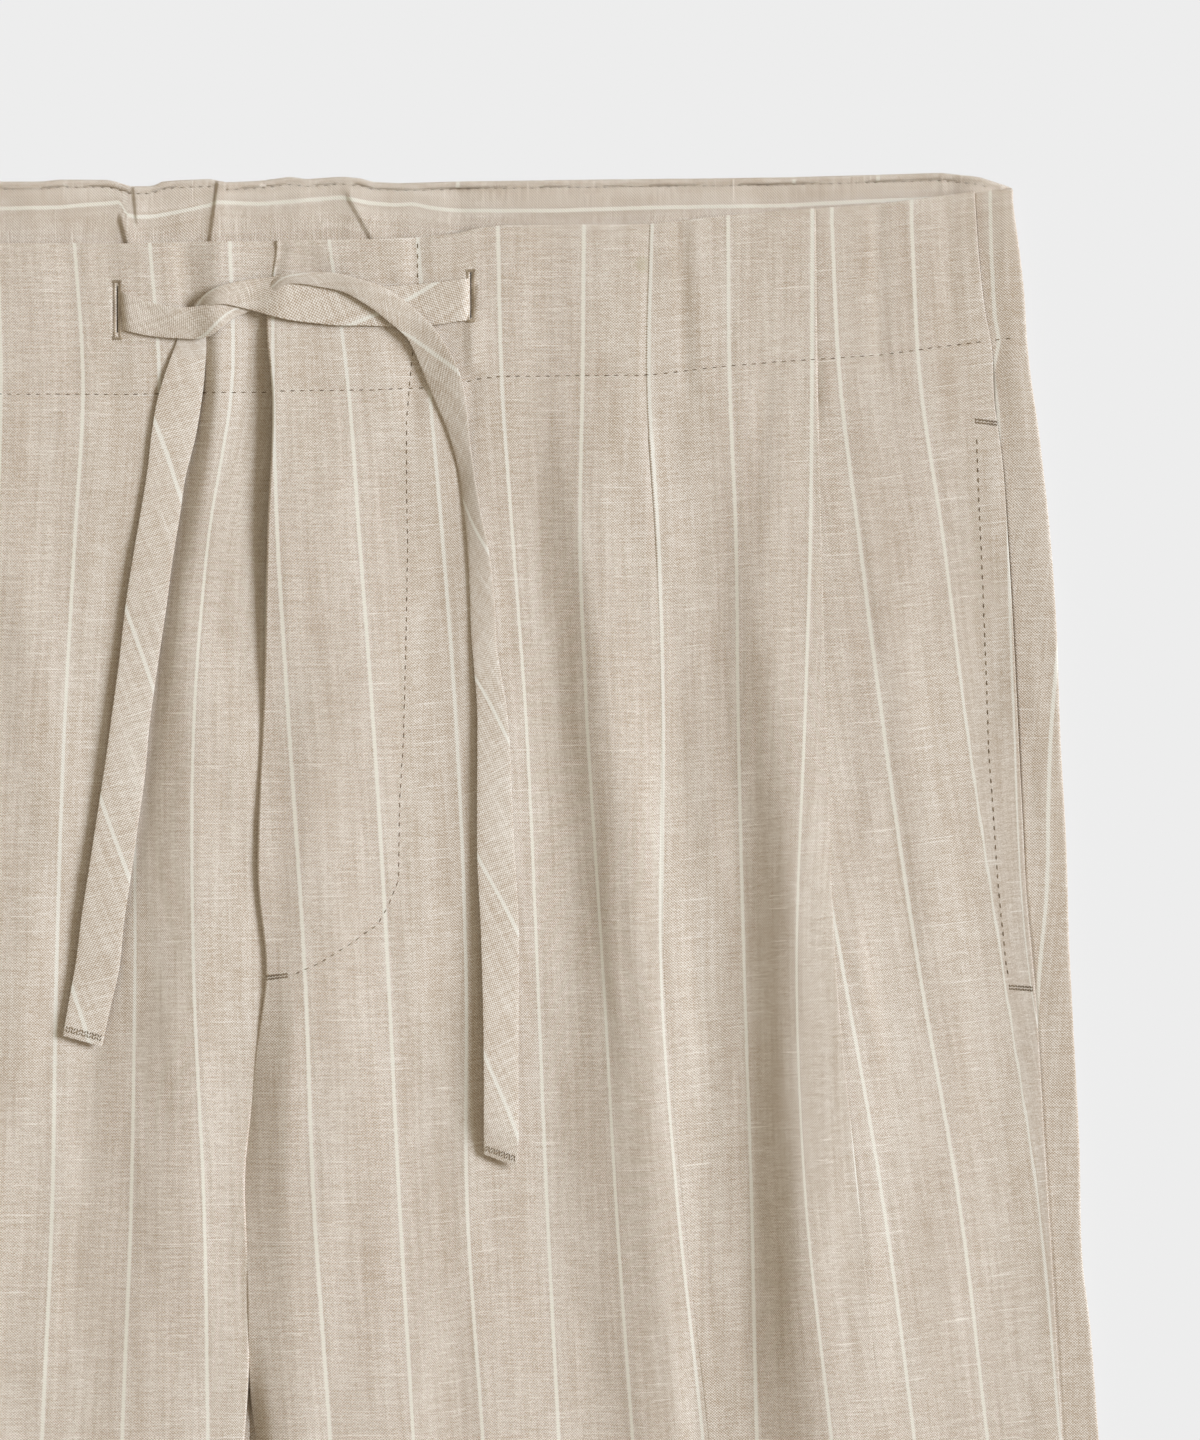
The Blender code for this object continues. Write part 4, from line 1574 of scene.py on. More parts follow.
LEFT_OUTER = stripes(
    9,
    (145.5, 147.0, 153.6, 159.9, 174.6, 186.0, 195.6, 213.9),
    (170.85, 173.4, 179.1, 185.1, 197.4, 208.8, 217.5, 237.0),
    (194.7, 197.4, 204.3, 210.3, 222.9, 232.8, 239.4, 257.4),
    (220.0, 223.2, 223.6, 225.1, 230.2, 243.0, 252.0, 272.0),
)
RIGHT_INNER = stripes(
    -1,
    (-14.7, -12.8, -2.5, -1.5, -3.5, -3.5, -5.0, -10.0),
    (9.6, 8.9, 15.9, 19.9, 20.2, 17.2, 15.9, 14.0),
    (33.9, 30.6, 33.6, 37.2, 37.8, 38.9, 41.7, 44.0),
    (56.4, 53.4, 55.9, 58.6, 61.5, 62.6, 65.7, 72.0),
    (79.2, 78.0, 79.3, 81.5, 86.0, 88.0, 92.0, 100.0),
    (103.8, 103.2, 103.5, 105.5, 110.0, 112.5, 117.0, 126.0),
    (123.0, 122.5, 120.5, 120.5, 120.5, 126.0, 134.0, 146.0),
)
RIGHT_MIDDLE = stripes(
    6,
    (117.1, 116.2, 119.0, 120.5, 120.5, 123.0, 125.5, 134.0),
    (142.0, 142.5, 144.0, 144.5, 147.0, 149.5, 151.5, 160.0),
    (166.0, 166.0, 166.0, 165.0, 163.0, 166.0, 173.0, 187.0),
)
RIGHT_OUTER = stripes(
    9,
    (147.5, 149.0, 155.0, 161.5, 176.0, 187.5, 197.0, 215.0),
    (172.5, 175.0, 180.5, 186.5, 199.0, 210.0, 218.5, 238.0),
    (196.0, 199.0, 205.5, 211.5, 224.0, 234.0, 240.5, 258.0),
    (214.0, 218.5, 223.0, 226.5, 233.0, 245.0, 254.0, 273.0),
)

LEFT_RELIEF = Relief(RELIEF_LEVELS, (
    ReliefLine((-8, -8, -8, -8, -8, -8, -5, -7, -12, -9, -7, -5, 2),
                (0.3, 2.8, 3.2, 2.4, 0.5, 1.3, 0.6, -1.0, -4.0, -1.0, -0.5, -5.0, -0.3)),
    ReliefLine((4, 4, 4, 4, 4, 4, 3, 3, 2, 2, 2, 3, 8),
                (0.3, 2.6, 3.0, 2.2, 0.7, 1.2, 0.9, 1.5, 1.3, 0.9, 0.5, -0.3, 0.1)),
    ReliefLine((16, 16, 16, 16, 16, 15, 13, 11, 9, 9, 10, 11, 15),
                (0.1, 1.8, 2.3, 1.9, 1.5, 1.7, 1.9, 3.2, 3.5, 2.3, 1.4, 0.9, 0.2)),
    ReliefLine((52, 52, 54.5, 56.3, 58.5, 58.6, 60, 61, 61, 62, 64, 66, 74),
                (0.0, 0.3, -0.7, -1.3, -1.6, -1.8, -1.7, -0.8, -0.3, -1.0, -1.5, -1.4, -0.7)),
    ReliefLine((60, 60, 62, 64, 66, 66.1, 67.5, 68.5, 68.5, 70, 72, 74, 82),
                (0.1, 0.1, -0.7, -1.2, -1.5, -1.7, -1.6, -0.8, -0.4, -1.4, -1.9, -1.8, -1.0)),
    ReliefLine((82, 82, 82, 84, 87, 90, 89.5, 86, 88, 93, 95, 97, 110),
                (-0.1, -0.1, -1.7, -2.6, -3.1, -3.3, -3.3, -2.3, -2.0, -2.8, -3.1, -2.9, -1.4)),
    ReliefLine((95, 95, 95.5, 100.5, 105, 110.5, 113, 115, 116.5, 118, 121, 124, 136),
                (0.1, 0.4, 0.9, 0.9, 1.3, 1.4, 1.5, 2.3, 2.2, 0.6, -0.4, -0.4, 0.2)),
    ReliefLine((132, 132, 130, 127, 126, 129, 131, 134, 134, 133, 131, 131, 146),
                (0.0, 0.0, -1.0, -1.6, -2.0, -1.7, -1.3, -0.8, -0.7, -1.6, -1.9, -1.7, -0.5)),
    ReliefLine((145, 145, 140.5, 136.5, 137, 141, 142.5, 143.5, 144.5, 144, 143.5, 144, 156),
                (0.0, 0.0, -0.9, -1.5, -1.7, -1.4, -0.8, -0.1, 0.1, -1.1, -1.4, -1.1, -0.1)),
    ReliefLine((156, 156, 152, 152, 157.5, 159.5, 160.8, 161.5, 162.2, 163.6, 165.6, 168.5, 181),
                (0.0, 0.0, 0.5, 1.1, 3.2, 4.0, 5.6, 6.7, 7.0, 6.2, 5.5, 4.8, 1.9)),
    ReliefLine((167, 167, 167, 169, 172, 175, 176, 177, 178, 180, 182, 185, 195),
                (-0.1, -0.1, 0.1, 0.6, 2.0, 2.5, 4.1, 5.5, 5.9, 5.1, 4.8, 4.1, 1.7)),
    ReliefLine((180, 180, 180, 181, 183, 185, 186, 187, 188, 189, 191, 193, 206),
                (-0.1, -0.1, 0.1, 0.8, 2.1, 2.1, 3.1, 3.8, 4.1, 3.5, 3.2, 2.7, 1.2)),
    ReliefLine((200, 200, 200, 201, 203, 203, 203, 203, 203, 204, 205, 206, 220),
                (0.0, 0.0, 0.0, 0.5, 1.1, 1.1, 1.6, 2.1, 2.2, 1.7, 1.5, 1.3, 0.8)),
    ReliefLine((219, 219, 222, 224, 225, 227, 229, 232, 234, 236, 238, 240, 249), (0.0,) * 13),
))
RIGHT_RELIEF = Relief(RELIEF_LEVELS, (
    ReliefLine((-34,) * 13, (-1.0, -2.0, -2.3, -2.1, -1.0, -0.9, -0.9, -0.9, -1.2, -0.9, -0.8, -0.8, -0.3)),
    ReliefLine((-2, -2, -2, -2, -1, -1, -1, 0, 1, 1, 1, 2, 7),
                (-0.9, -1.9, -2.1, -1.9, -0.8, -0.8, -0.3, 0.1, -1.0, -0.8, -0.7, -0.6, -0.3)),
    ReliefLine((4.5, 4.5, 4.5, 4.5, 4.5, 5, 5, 5, 5, 5, 5, 7, 11),
                (-0.5, -1.2, -1.2, -1.0, -0.3, -0.2, 0.2, 0.5, -0.4, -0.3, -0.3, -0.2, 0.0)),
    ReliefLine((9, 9, 11, 12.5, 12.5, 12.5, 12.5, 12.5, 11.5, 11, 12, 14, 20),
                (0.1, -0.3, -0.3, -0.1, 0.5, 0.7, 0.8, 1.0, 0.5, 0.4, 0.3, 0.1, 0.2)),
    ReliefLine((13.2, 13.2, 17.5, 21, 21.5, 21, 20, 20, 19, 19, 20, 23, 30),
                (0.4, 0.4, 0.5, 0.7, 1.3, 1.5, 1.6, 1.8, 1.4, 1.1, 0.8, 0.4, 0.2)),
    ReliefLine((15.8, 15.8, 20.5, 24.0, 28.8, 33.4, 39, 44, 47, 49, 52, 56, 64),
                (-0.2, -1.4, -0.6, 0.0, -0.4, -1.2, -1.4, -1.35, -1.2, -1.0, -0.8, -0.7, -0.2)),
    ReliefLine((18.5, 18.5, 24.2, 28.6, 33.2, 37.6, 44, 49, 53, 55, 60, 64, 72),
                (-0.8, -3.0, -3.1, -2.7, -2.7, -2.7, -2.4, -2.0, -1.8, -1.5, -1.2, -1.0, -0.3)),
    ReliefLine((28, 28, 34, 40, 46, 51, 57, 61, 66, 70, 74, 77, 83),
                (-0.3, -1.6, -2.0, -2.2, -2.0, -1.7, -1.3, -0.9, -0.7, -0.5, -0.4, -0.3, 0.0)),
    ReliefLine((60, 60, 62, 64, 66, 68, 70, 76, 80, 82, 84, 86, 92),
                (0.0, 0.0, -0.4, -0.5, -0.4, -0.2, 0.0, 0.0, 0.0, 0.0, 0.0, 0.0, 0.1)),
    ReliefLine((88, 88, 89, 91, 94, 97, 98, 99, 102, 105, 108, 110, 120),
                (0.3, 0.3, 0.1, -0.3, -0.5, -0.6, -0.6, -0.5, -0.9, -1.6, -1.9, -1.8, -1.0)),
    ReliefLine((99, 99, 100, 104, 109, 114, 117, 119, 121, 122, 125, 129, 141),
                (0.2, 0.2, 0.6, 0.9, 1.2, 1.3, 1.5, 1.9, 1.8, 0.9, 0.3, 0.2, 0.5)),
    ReliefLine((133, 133, 133, 136, 136, 134, 133, 137, 138, 138, 136, 137, 151),
                (0.0, 0.0, -0.8, -1.0, -1.1, -0.8, -0.3, 0.3, 0.5, -0.3, -0.6, -0.5, -0.2)),
    ReliefLine((157, 157, 157, 160, 162, 163, 163, 164, 165, 166, 170, 173, 184),
                (0.0, 0.0, 0.5, 1.0, 2.2, 3.2, 4.4, 5.2, 5.4, 4.5, 3.9, 3.3, 1.6)),
    ReliefLine((181, 181, 181, 182, 184, 186, 187, 188, 189, 190, 192, 194, 207),
                (0.0, 0.0, 0.2, 0.8, 1.8, 2.0, 2.7, 3.1, 3.3, 2.8, 2.5, 2.1, 1.0)),
    ReliefLine((219, 219, 222, 224, 225, 227, 229, 232, 234, 236, 238, 240, 249), (0.0,) * 13),
))

RIGHT_HOLE_STRAND = strap_course(
    (-43.5, 35.7, -42.9, 47.7, -2.2), (-42.9, 35.9, -42.3, 47.7, -1.6), (-42.0, 36.1, -41.1, 47.9, 0.2),
    (-40.2, 36.9, -39.0, 48.3, 0.65), (-36.9, 38.1, -35.1, 49.2, 0.7), (-32.7, 39.4, -30.6, 49.8, 0.8),
    (-27.6, 40.6, -24.6, 50.2, 1.4), (-22.5, 40.8, -19.5, 50.4, 2.1), (-18.0, 40.4, -15.6, 49.6, 2.4),
    (-13.8, 39.8, -12.3, 47.4, 2.0), (-9.6, 39.6, -8.7, 44.5, 1.2), (-5.7, 39.3, -4.8, 42.6, 0.9),
    (-2.4, 38.4, -1.2, 41.1, 0.7), (0.3, 36.6, 1.8, 39.0, 1.0), (3.0, 33.3, 4.5, 36.3, 2.0),
    (6.6, 31.3, 7.5, 34.2, 2.6), (11.4, 30.8, 11.7, 34.0, 2.8), (17.0, 30.4, 17.0, 34.8, 2.8),
    (22.2, 30.6, 22.2, 35.7, 2.8), (27.0, 31.8, 25.8, 36.9, 2.8), (32.4, 33.3, 30.0, 39.3, 2.8),
    (37.2, 35.1, 34.5, 42.3, 2.7), (40.8, 37.4, 37.8, 45.0, 2.6), (44.4, 40.0, 41.1, 47.7, 2.4),
    (48.0, 43.2, 43.8, 50.4, 2.3, -0.3), (51.3, 46.5, 45.9, 54.3, 2.1, -0.6),
    (54.6, 51.3, 47.7, 58.8, 1.9, -0.9), (57.6, 56.4, 49.5, 63.6, 1.8, -1.2),
    (59.7, 61.5, 51.6, 68.4, 1.7, -1.2), (61.0, 67.2, 54.0, 73.8, 1.4, -1.1),
    (61.8, 73.2, 56.1, 79.2, 1.25, -1.0), (62.4, 79.8, 57.9, 85.2, 1.15, -0.9),
    (63.3, 87.0, 59.4, 92.4, 1.1, -0.9), (64.5, 94.8, 60.4, 99.9, 1.1, -0.9),
    (66.0, 103.2, 61.3, 108.6, 1.1, -0.8), (67.8, 111.9, 61.9, 117.9, 1.0, -0.7),
    (69.1, 120.9, 62.4, 127.8, 0.85, -0.5), (69.9, 129.9, 62.7, 137.4, 0.75, -0.3),
    (70.6, 143.4, 63.6, 148.8, 0.9), (73.2, 158.4, 64.5, 160.2, 1.3), (74.4, 171.9, 64.6, 172.8, 1.4, 0.1),
    (75.1, 188.4, 64.5, 188.7, 1.4, 0.15), (76.0, 207.0, 64.6, 207.0, 1.4, 0.15),
    (77.0, 224.4, 65.5, 224.1, 1.8, 0.15), (77.1, 242.4, 66.1, 242.4, 2.2, 0.2),
    (77.0, 260.4, 66.5, 260.1, 3.0, 0.2), (77.0, 276.9, 66.6, 276.6, 3.6, 0.2),
    (77.0, 289.8, 66.6, 286.2, 3.4, 0.2), (76.6, 298.2, 66.6, 294.3, 1.7, 0.2),
)
LEFT_HOLE_STRAND = strap_course(
    (63.3, 32.4, 63.3, 44.7, -2.2), (62.8, 32.2, 62.8, 44.7, -1.6), (61.8, 32.2, 61.6, 44.9, 0.2),
    (59.4, 32.4, 59.1, 45.1, 0.65), (55.8, 32.9, 55.2, 45.8, 0.7), (51.0, 33.4, 49.8, 46.4, 0.75),
    (45.0, 34.0, 43.8, 46.6, 0.8), (38.4, 34.5, 37.2, 46.6, 0.85), (31.2, 34.4, 30.3, 46.4, 0.9),
    (24.3, 33.4, 23.4, 46.4, 1.0), (17.7, 31.9, 15.0, 45.6, 1.2), (11.4, 30.8, 8.1, 44.7, 1.5),
    (6.6, 31.0, 2.0, 43.2, 1.9), (2.7, 31.8, -2.1, 42.0, 2.1), (-1.5, 32.2, -5.7, 41.1, 2.2),
    (-5.7, 32.9, -8.7, 40.4, 2.3), (-9.9, 33.8, -11.4, 40.0, 2.5), (-13.8, 35.1, -13.9, 40.2, 2.5),
    (-17.1, 37.0, -15.9, 40.8, 2.0), (-19.8, 39.6, -17.1, 42.3, 1.1), (-21.9, 42.6, -17.1, 45.0, 0.55),
    (-24.0, 46.5, -16.8, 48.3, 0.5), (-25.5, 51.3, -16.5, 52.5, 0.5), (-27.3, 56.1, -16.8, 57.6, 0.55),
    (-29.2, 61.5, -17.2, 63.0, 0.6), (-31.0, 67.5, -18.0, 69.0, 0.65), (-32.9, 78.3, -19.8, 79.8, 0.75),
    (-34.4, 90.9, -22.9, 92.4, 0.9), (-36.1, 101.4, -24.4, 102.9, 1.2), (-38.4, 114.9, -26.6, 116.4, 1.6),
    (-40.6, 129.0, -28.5, 130.8, 1.8), (-42.8, 147.9, -31.3, 149.7, 1.9), (-45.1, 165.0, -33.6, 166.8, 2.2),
    (-47.1, 179.4, -34.9, 181.5, 2.4), (-49.2, 192.9, -36.8, 195.0, 2.5), (-51.6, 208.8, -39.0, 210.9, 2.6),
    (-53.9, 223.5, -41.2, 225.6, 2.5), (-55.6, 237.0, -42.6, 239.1, 2.3), (-57.8, 249.3, -45.4, 251.4, 2.0),
    (-59.1, 256.8, -47.2, 259.8, 1.8), (-59.5, 258.9, -47.7, 262.2, 1.7),
)
# Distance from the strand's free end against the length of cloth up to there; the strap is twisted where
# the two part, under the knot.
RIGHT_HOLE_CLOTH: Table = (
    (0.0, 0.0), (20.0, 20.0), (80.0, 77.5), (136.0, 135.0), (190.0, 192.5), (244.5, 250.0), (300.0, 305.5),
    (304.0, 296.5), (350.0, 342.5),
)
LEFT_HOLE_CLOTH: Table = ((0.0, 0.0), (208.0, 208.7), (222.0, 240.0), (283.0, 291.7), (306.0, 314.7))

LEFT_CREASES = creases(
    (62.6, 44.0, 62.2, 60.0, 2.6, 0.75, 0.74, 0.15), (63.5, 256.0, 64.0, 292.0, 6.0, 0.9, 0.0, 0.5),
    (56.0, 50.0, 48.0, 62.0, 4.0, -0.5, 0.0, 0.3), (62.5, 64.0, 60.5, 90.0, 2.2, -0.5, 0.2),
    (85.0, 20.0, 84.0, 60.0, 4.5, -0.25), (125.0, 17.0, 127.0, 60.0, 2.4, -0.45, 0.3),
    (130.0, 20.0, 131.0, 58.0, 4.0, 0.3), (184.0, 12.0, 185.0, 54.0, 2.4, -0.4, 0.2),
    (205.0, 8.0, 207.0, 48.0, 3.0, -0.3), (46.0, 22.0, 45.0, 68.0, 3.2, -0.7, 0.2),
    (38.0, 34.0, 41.0, 58.0, 3.0, -0.4), (6.0, 24.0, 3.5, 34.0, 2.0, -0.8, 0.0, 0.5),
    (12.0, 26.0, 22.0, 34.0, 4.0, -0.5), (115.3, 18.0, 114.6, 76.0, 1.6, -0.15, 0.0, 0.05),
    (166.9, 56.0, 167.6, 76.0, 0.8, -0.35, 0.0, 0.05), (112.0, 79.0, 116.0, 78.5, 0.8, -0.3, 0.0, 0.3),
    (166.0, 77.5, 170.0, 77.0, 0.8, -0.3, 0.0, 0.3), (116.0, 80.0, 117.0, 104.0, 2.4, 0.35, -0.3),
    (151.0, 66.0, 149.0, 100.0, 3.0, -0.35), (176.0, 88.0, 181.0, 140.0, 3.4, -0.3),
    (120.0, 150.0, 126.0, 250.0, 3.0, 0.3), (185.0, 150.0, 196.0, 240.0, 3.6, -0.35),
    (178.0, 232.0, 184.0, 262.0, 2.2, 0.45), (104.0, 210.0, 106.0, 246.0, 2.0, 0.3),
    (101.0, 225.0, 104.0, 262.0, 2.0, -0.3), (100.0, 350.0, 112.0, 400.0, 5.0, -0.4),
    (60.0, 300.0, 66.0, 372.0, 4.0, 0.3), (20.0, 300.0, 16.0, 372.0, 5.0, 0.3),
)
RIGHT_CREASES = creases(
    (23.0, 26.0, 19.0, 60.0, 2.6, -0.7, 0.2), (17.0, 24.0, 15.0, 58.0, 3.0, 0.3),
    (46.0, 25.0, 44.0, 66.0, 4.0, -0.4), (58.0, 24.0, 56.0, 64.0, 4.0, -0.35),
    (74.0, 80.0, 72.0, 160.0, 5.0, 0.3), (115.3, 20.0, 114.6, 76.0, 1.6, -0.15, 0.0, 0.05),
    (166.9, 56.0, 168.0, 76.0, 0.8, -0.35, 0.0, 0.05), (126.0, 18.0, 128.0, 60.0, 2.6, -0.4, 0.2),
    (186.0, 12.0, 188.0, 54.0, 2.6, -0.4, 0.2), (100.0, 24.0, 98.0, 60.0, 4.0, -0.3),
    (28.0, 250.0, 22.0, 300.0, 4.0, 0.3), (186.0, 150.0, 197.0, 240.0, 3.6, -0.35),
    (60.0, 300.0, 66.0, 372.0, 4.0, 0.3),
)
BACK_CREASES = creases(
    (30.0, 6.0, 32.0, 60.0, 3.0, 0.5), (62.0, 4.0, 58.0, 64.0, 3.4, 0.6), (88.0, 6.0, 90.0, 58.0, 2.8, 0.4),
    (121.0, 5.0, 118.0, 70.0, 3.6, 0.6), (150.0, 6.0, 154.0, 60.0, 3.0, 0.4),
    (186.0, 8.0, 182.0, 66.0, 3.4, 0.5), (70.0, 120.0, 90.0, 300.0, 9.0, 0.7),
    (150.0, 140.0, 160.0, 360.0, 10.0, 0.8), (110.0, 320.0, 118.0, 500.0, 9.0, 0.6),
)
FACING_CREASES = creases(
    (-41.8, 15.0, -39.4, 24.0, 2.4, 0.95, 0.76), (-38.0, 6.0, -37.2, 14.0, 2.2, 0.6, 0.7),
    (-13.0, 5.0, -15.6, 24.0, 2.8, 0.8, 0.8), (-17.5, 8.0, -19.0, 24.0, 3.0, -0.2),
    (27.0, 9.0, 34.2, 22.0, 2.6, 0.75, 0.74), (204.2, 2.0, 204.6, 9.0, 2.2, 0.42, 0.5),
    (206.0, 2.0, 206.0, 9.0, 3.0, -0.6), (215.0, 2.0, 215.0, 9.0, 6.0, 0.9),
    (26.0, 4.0, 29.0, 24.0, 3.0, 0.2), (12.0, 2.0, 11.0, 14.0, 3.0, 0.3),
    (58.0, 4.0, 60.0, 22.0, 3.6, -0.35), (100.0, 3.0, 101.0, 20.0, 4.0, 0.2),
    (150.0, 3.0, 149.0, 18.0, 4.0, -0.25), (-70.0, 4.0, -68.0, 24.0, 4.0, 0.3),
    (-110.0, 4.0, -108.0, 24.0, 2.6, -0.6), (-150.0, 4.0, -152.0, 24.0, 3.0, 0.5),
)

PLEATS = (
    Pleat(FIRST_FOLD, FIRST_DEPTH, ((60.0, 0.14), (66.0, 0.36), (92.0, 0.3), (118.0, 0.08)), 2.0),
    Pleat(SECOND_FOLD, SECOND_DEPTH, ((48.0, 0.22), (56.0, 0.5), (72.0, 0.08)), 0.9),
)
FLY_ROW: Table = (
    (46.8, 21.0), (46.8, 33.0), (45.6, 51.3), (44.7, 60.6), (43.5, 74.4), (43.5, 91.8), (43.8, 114.6),
    (43.2, 145.2), (42.6, 169.8), (41.4, 189.0), (41.1, 212.1), (37.8, 220.5), (34.8, 225.6), (26.1, 231.9),
    (17.1, 237.3), (9.0, 240.9),
)
FLY_TACK = ((1.6, 241.6), (8.0, 240.8))
POCKET_ROW: Table = (
    (214.2, 79.5), (214.8, 96.3), (216.0, 122.4), (217.2, 153.0), (217.8, 173.4), (218.7, 185.1),
    (220.8, 215.7), (223.2, 238.8), (224.4, 243.3),
)
POCKET_TACKS = (((213.9, 74.8), (220.2, 75.6)), ((224.1, 244.4), (231.0, 244.9)))
# Across, first drop and last drop of the stitches round each buttonhole of the drawstring.
BUTTONHOLES: tuple[Slit, ...] = ((-43.2, 33.6, 49.6), (62.7, 30.4, 44.4))


def between(first: Point, second: Point, share: float) -> Point:
    """The place at a share of the way from one place to another."""
    return tuple(a * (1 - share) + b * share for a, b in zip(first, second))


def row_course(edge: Table, row: float, places: range, side: Side = Side.LEFT) -> Table:
    """Course of a row of stitches at an even distance below an edge."""
    return tuple((x * side.value, float(read_table(edge, x)) + row) for x in places)


@dataclass
class Shorts:
    """The whole garment: four panels, the waist facing, the drawstring and the sewing."""

    fronts: tuple[FrontPanel, FrontPanel]
    backs: tuple[BackPanel, BackPanel]
    facing: WaistFacing
    strands: tuple[Strand, Strand]
    linen: bpy.types.Material
    facing_linen: bpy.types.Material
    strap_linen: bpy.types.Material
    thread: bpy.types.Material
    light_thread: bpy.types.Material

    def build(self) -> None:
        """Make every piece, from the cloth up to the sewing on it."""
        fronts = [self.sheet(panel, self.linen) for panel in self.fronts]
        backs = [self.sheet(panel, self.linen) for panel in self.backs]
        facing = self.sheet(self.facing, self.facing_linen)
        above = Ground([*fronts, *backs, facing])
        for strand in self.strands:
            piece = place_piece(strand.build(above.heights, self.strap_linen), strand.node)
            self.tack_end(strand, Ground([piece]))
        below = Ground([*fronts, *backs], from_above=False)
        self.sew_waist(above)
        self.sew_fly(above)
        self.sew_pockets(above)
        self.sew_buttonholes(above)
        self.sew_hems(above, below)

    def sheet(self, panel: FrontPanel | BackPanel | WaistFacing,
              material: bpy.types.Material) -> bpy.types.Object:
        """Make a cut piece of linen.

        Args:
            panel: What the piece is made from.
            material: Its linen.

        Returns:
            The piece.
        """
        piece = place_piece(panel.grid().build(panel.name, CLOTH, material), panel.node)
        return piece

    def tack_end(self, strand: Strand, ground: Ground) -> None:
        """Sew two rows across a strand's end.

        Args:
            strand: The strand, which is already laid.
            ground: Its surface.
        """
        last, before = strand.places[-1], strand.places[-4]
        reach = hypot(last.first[0] - before.first[0], last.first[1] - before.first[1])
        sewing = Stitching(f"{strand.name}_tack", self.thread, 71)
        for back in (1.8, 2.8):
            start, end = (
                between(between(last.first, last.second, share),
                        between(before.first, before.second, share), back / reach)
                for share in (0.08, 0.93)
            )
            sewing.tack(ground, start, end, Tack(1.0, 0.8))
        sewing.finish()

    def sew_waist(self, above: Ground) -> None:
        """Sew the casing row on both fronts and the row along the facing's edge.

        Args:
            above: Surface of the garment as seen from above.
        """
        sewing = Stitching("casing_stitches", self.thread, 5)
        for panel, start in zip(self.fronts, (5, -2)):
            places = range(start, 229, 2)
            sewing.row(above, row_course(panel.waist_edge, panel.casing_row, places, panel.side))
        sewing.finish()
        sewing = Stitching("facing_stitches", self.thread, 6)
        course = row_course(self.facing.waist_edge, self.facing.stitch_row, range(-218, 220, 2))
        sewing.row(above, course, Stitch(1.5, 0.36, 2.7))
        sewing.finish()

    def sew_fly(self, above: Ground) -> None:
        """Sew the curved row that holds the fly, and the tack at its end.

        Args:
            above: Surface of the garment as seen from above.
        """
        sewing = Stitching("fly_stitches", self.thread, 7)
        sewing.row(above, FLY_ROW)
        sewing.double_tack(above, *FLY_TACK)
        sewing.finish()

    def sew_pockets(self, above: Ground) -> None:
        """Sew the row along each pocket mouth and the tacks at its ends.

        Args:
            above: Surface of the garment as seen from above.
        """
        sewing = Stitching("pocket_stitches", self.thread, 8)
        for panel in self.fronts:
            sign = panel.side.value
            sewing.row(above, tuple((x * sign, drop) for x, drop in POCKET_ROW), Stitch(1.7, 0.44, 2.9))
            for (start, top), (end, low) in POCKET_TACKS:
                sewing.double_tack(above, (start * sign, top), (end * sign, low))
        sewing.finish()

    def sew_buttonholes(self, above: Ground) -> None:
        """Work the close stitches round each buttonhole of the drawstring.

        Args:
            above: Surface of the garment as seen from above.
        """
        sewing = Stitching("buttonhole_stitches", self.light_thread, 9)
        for across, first, last in BUTTONHOLES:
            for aside in (-0.85, 0.85):
                sewing.tack(above, (across + aside, first), (across + aside, last), Tack(1.1, 0.36))
            for end in (first - 0.5, last + 0.5):
                sewing.tack(above, (across - 1.3, end), (across + 1.3, end), Tack(1.3, 0.36))
        sewing.finish()

    def sew_hems(self, above: Ground, below: Ground) -> None:
        """Sew the hems of both legs, and the casing row across the backs.

        Args:
            above: Surface of the garment as seen from above.
            below: Surface of its panels as seen from beneath.
        """
        sewing = Stitching("hem_stitches", self.thread, 10)
        for panel, start in zip(self.fronts, (8, 15)):
            course = row_course(panel.waist_edge, panel.hem_stitch_row, range(start, 244, 3), panel.side)
            sewing.row(above, course)
            sewing.row(below, course)
        casing_row = self.backs[0].stitched_rows[0]
        sewing.row(below, row_course(self.facing.waist_edge, casing_row, range(-222, 224, 3)))
        sewing.finish()


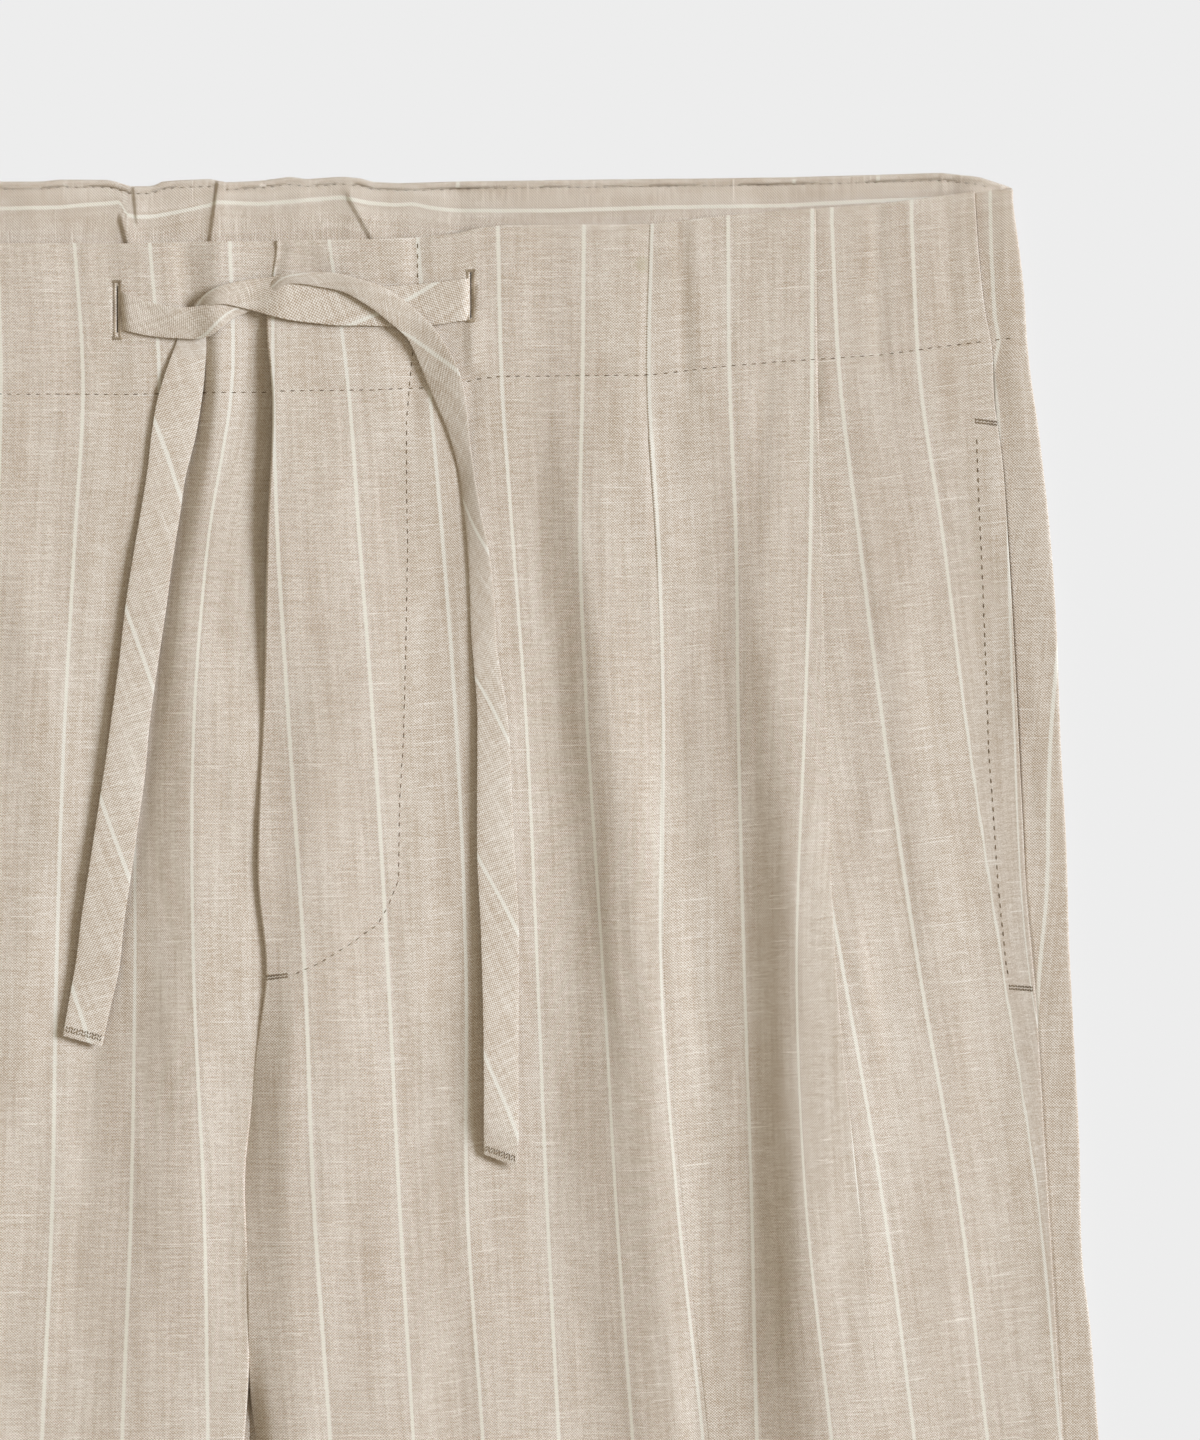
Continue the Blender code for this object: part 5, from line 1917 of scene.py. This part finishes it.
def main() -> None:
    """Build the studio and the shorts."""
    logging.basicConfig(level=logging.INFO, format="%(message)s")
    Studio().build()
    linen = StripedLinen("striped_linen", stains=((118.4, 12.5, 3.2), (111.0, 324.5, 0.7))).build()
    facing_linen = StripedLinen("facing_linen", shade="AF9B84", light="E4DBCF").build()
    strap_grain = Unevenness(2.0, 2.2, 1.0, 3.1, 1.1)
    strap_linen = StripedLinen("strap_linen", light="E7DFD3", grain=strap_grain).build()
    Shorts(
        fronts=(
            FrontPanel(
                "left_front", Side.LEFT, "front_left", LEFT_WAIST, FLAP_EDGE, SIDE_EDGE, PLEATS,
                (LEFT_INNER, LEFT_MIDDLE, LEFT_OUTER), LEFT_RELIEF, LEFT_CREASES, Undulation(11),
                slits=((62.7, 31.0, 43.8),),
            ),
            FrontPanel(
                "right_front", Side.RIGHT, "front_right", RIGHT_WAIST, UNDERLAP_EDGE, SIDE_EDGE, PLEATS,
                (RIGHT_INNER, RIGHT_MIDDLE, RIGHT_OUTER), RIGHT_RELIEF, RIGHT_CREASES, Undulation(12),
                slits=((43.2, 34.2, 49.0),),
            ),
        ),
        backs=(
            BackPanel("left_back", Side.LEFT, "back_left", BACK_LEFT_WAIST, LEFT_WAIST, LEFT_BACK_CENTRE,
                      OUTLINE, SIDE_EDGE, OUTLINE_CLOTH, BACK_CREASES, Undulation(13)),
            BackPanel("right_back", Side.RIGHT, "back_right", BACK_RIGHT_WAIST, RIGHT_WAIST,
                      RIGHT_BACK_CENTRE, OUTLINE, SIDE_EDGE, OUTLINE_CLOTH, BACK_CREASES, Undulation(14)),
        ),
        facing=WaistFacing("waist_facing", "back_waist_facing", FACING_WAIST, FACING_STRIPE,
                           (-222.8, 222.8), FACING_CREASES, Undulation(15, 0.04)),
        strands=(
            Strand("strand_from_left_hole", "drawstring_from_left_front", LEFT_HOLE_STRAND, 4.2, 1.0,
                   LEFT_HOLE_CLOTH),
            Strand("strand_from_right_hole", "drawstring_from_right_front", RIGHT_HOLE_STRAND, 20.0, -1.0,
                   RIGHT_HOLE_CLOTH),
        ),
        linen=linen, facing_linen=facing_linen, strap_linen=strap_linen, thread=SewingThread().build(),
        light_thread=SewingThread("light_taupe_thread", "B5A48C", "94836C").build(),
    ).build()


if __name__ == "__main__":
    main()
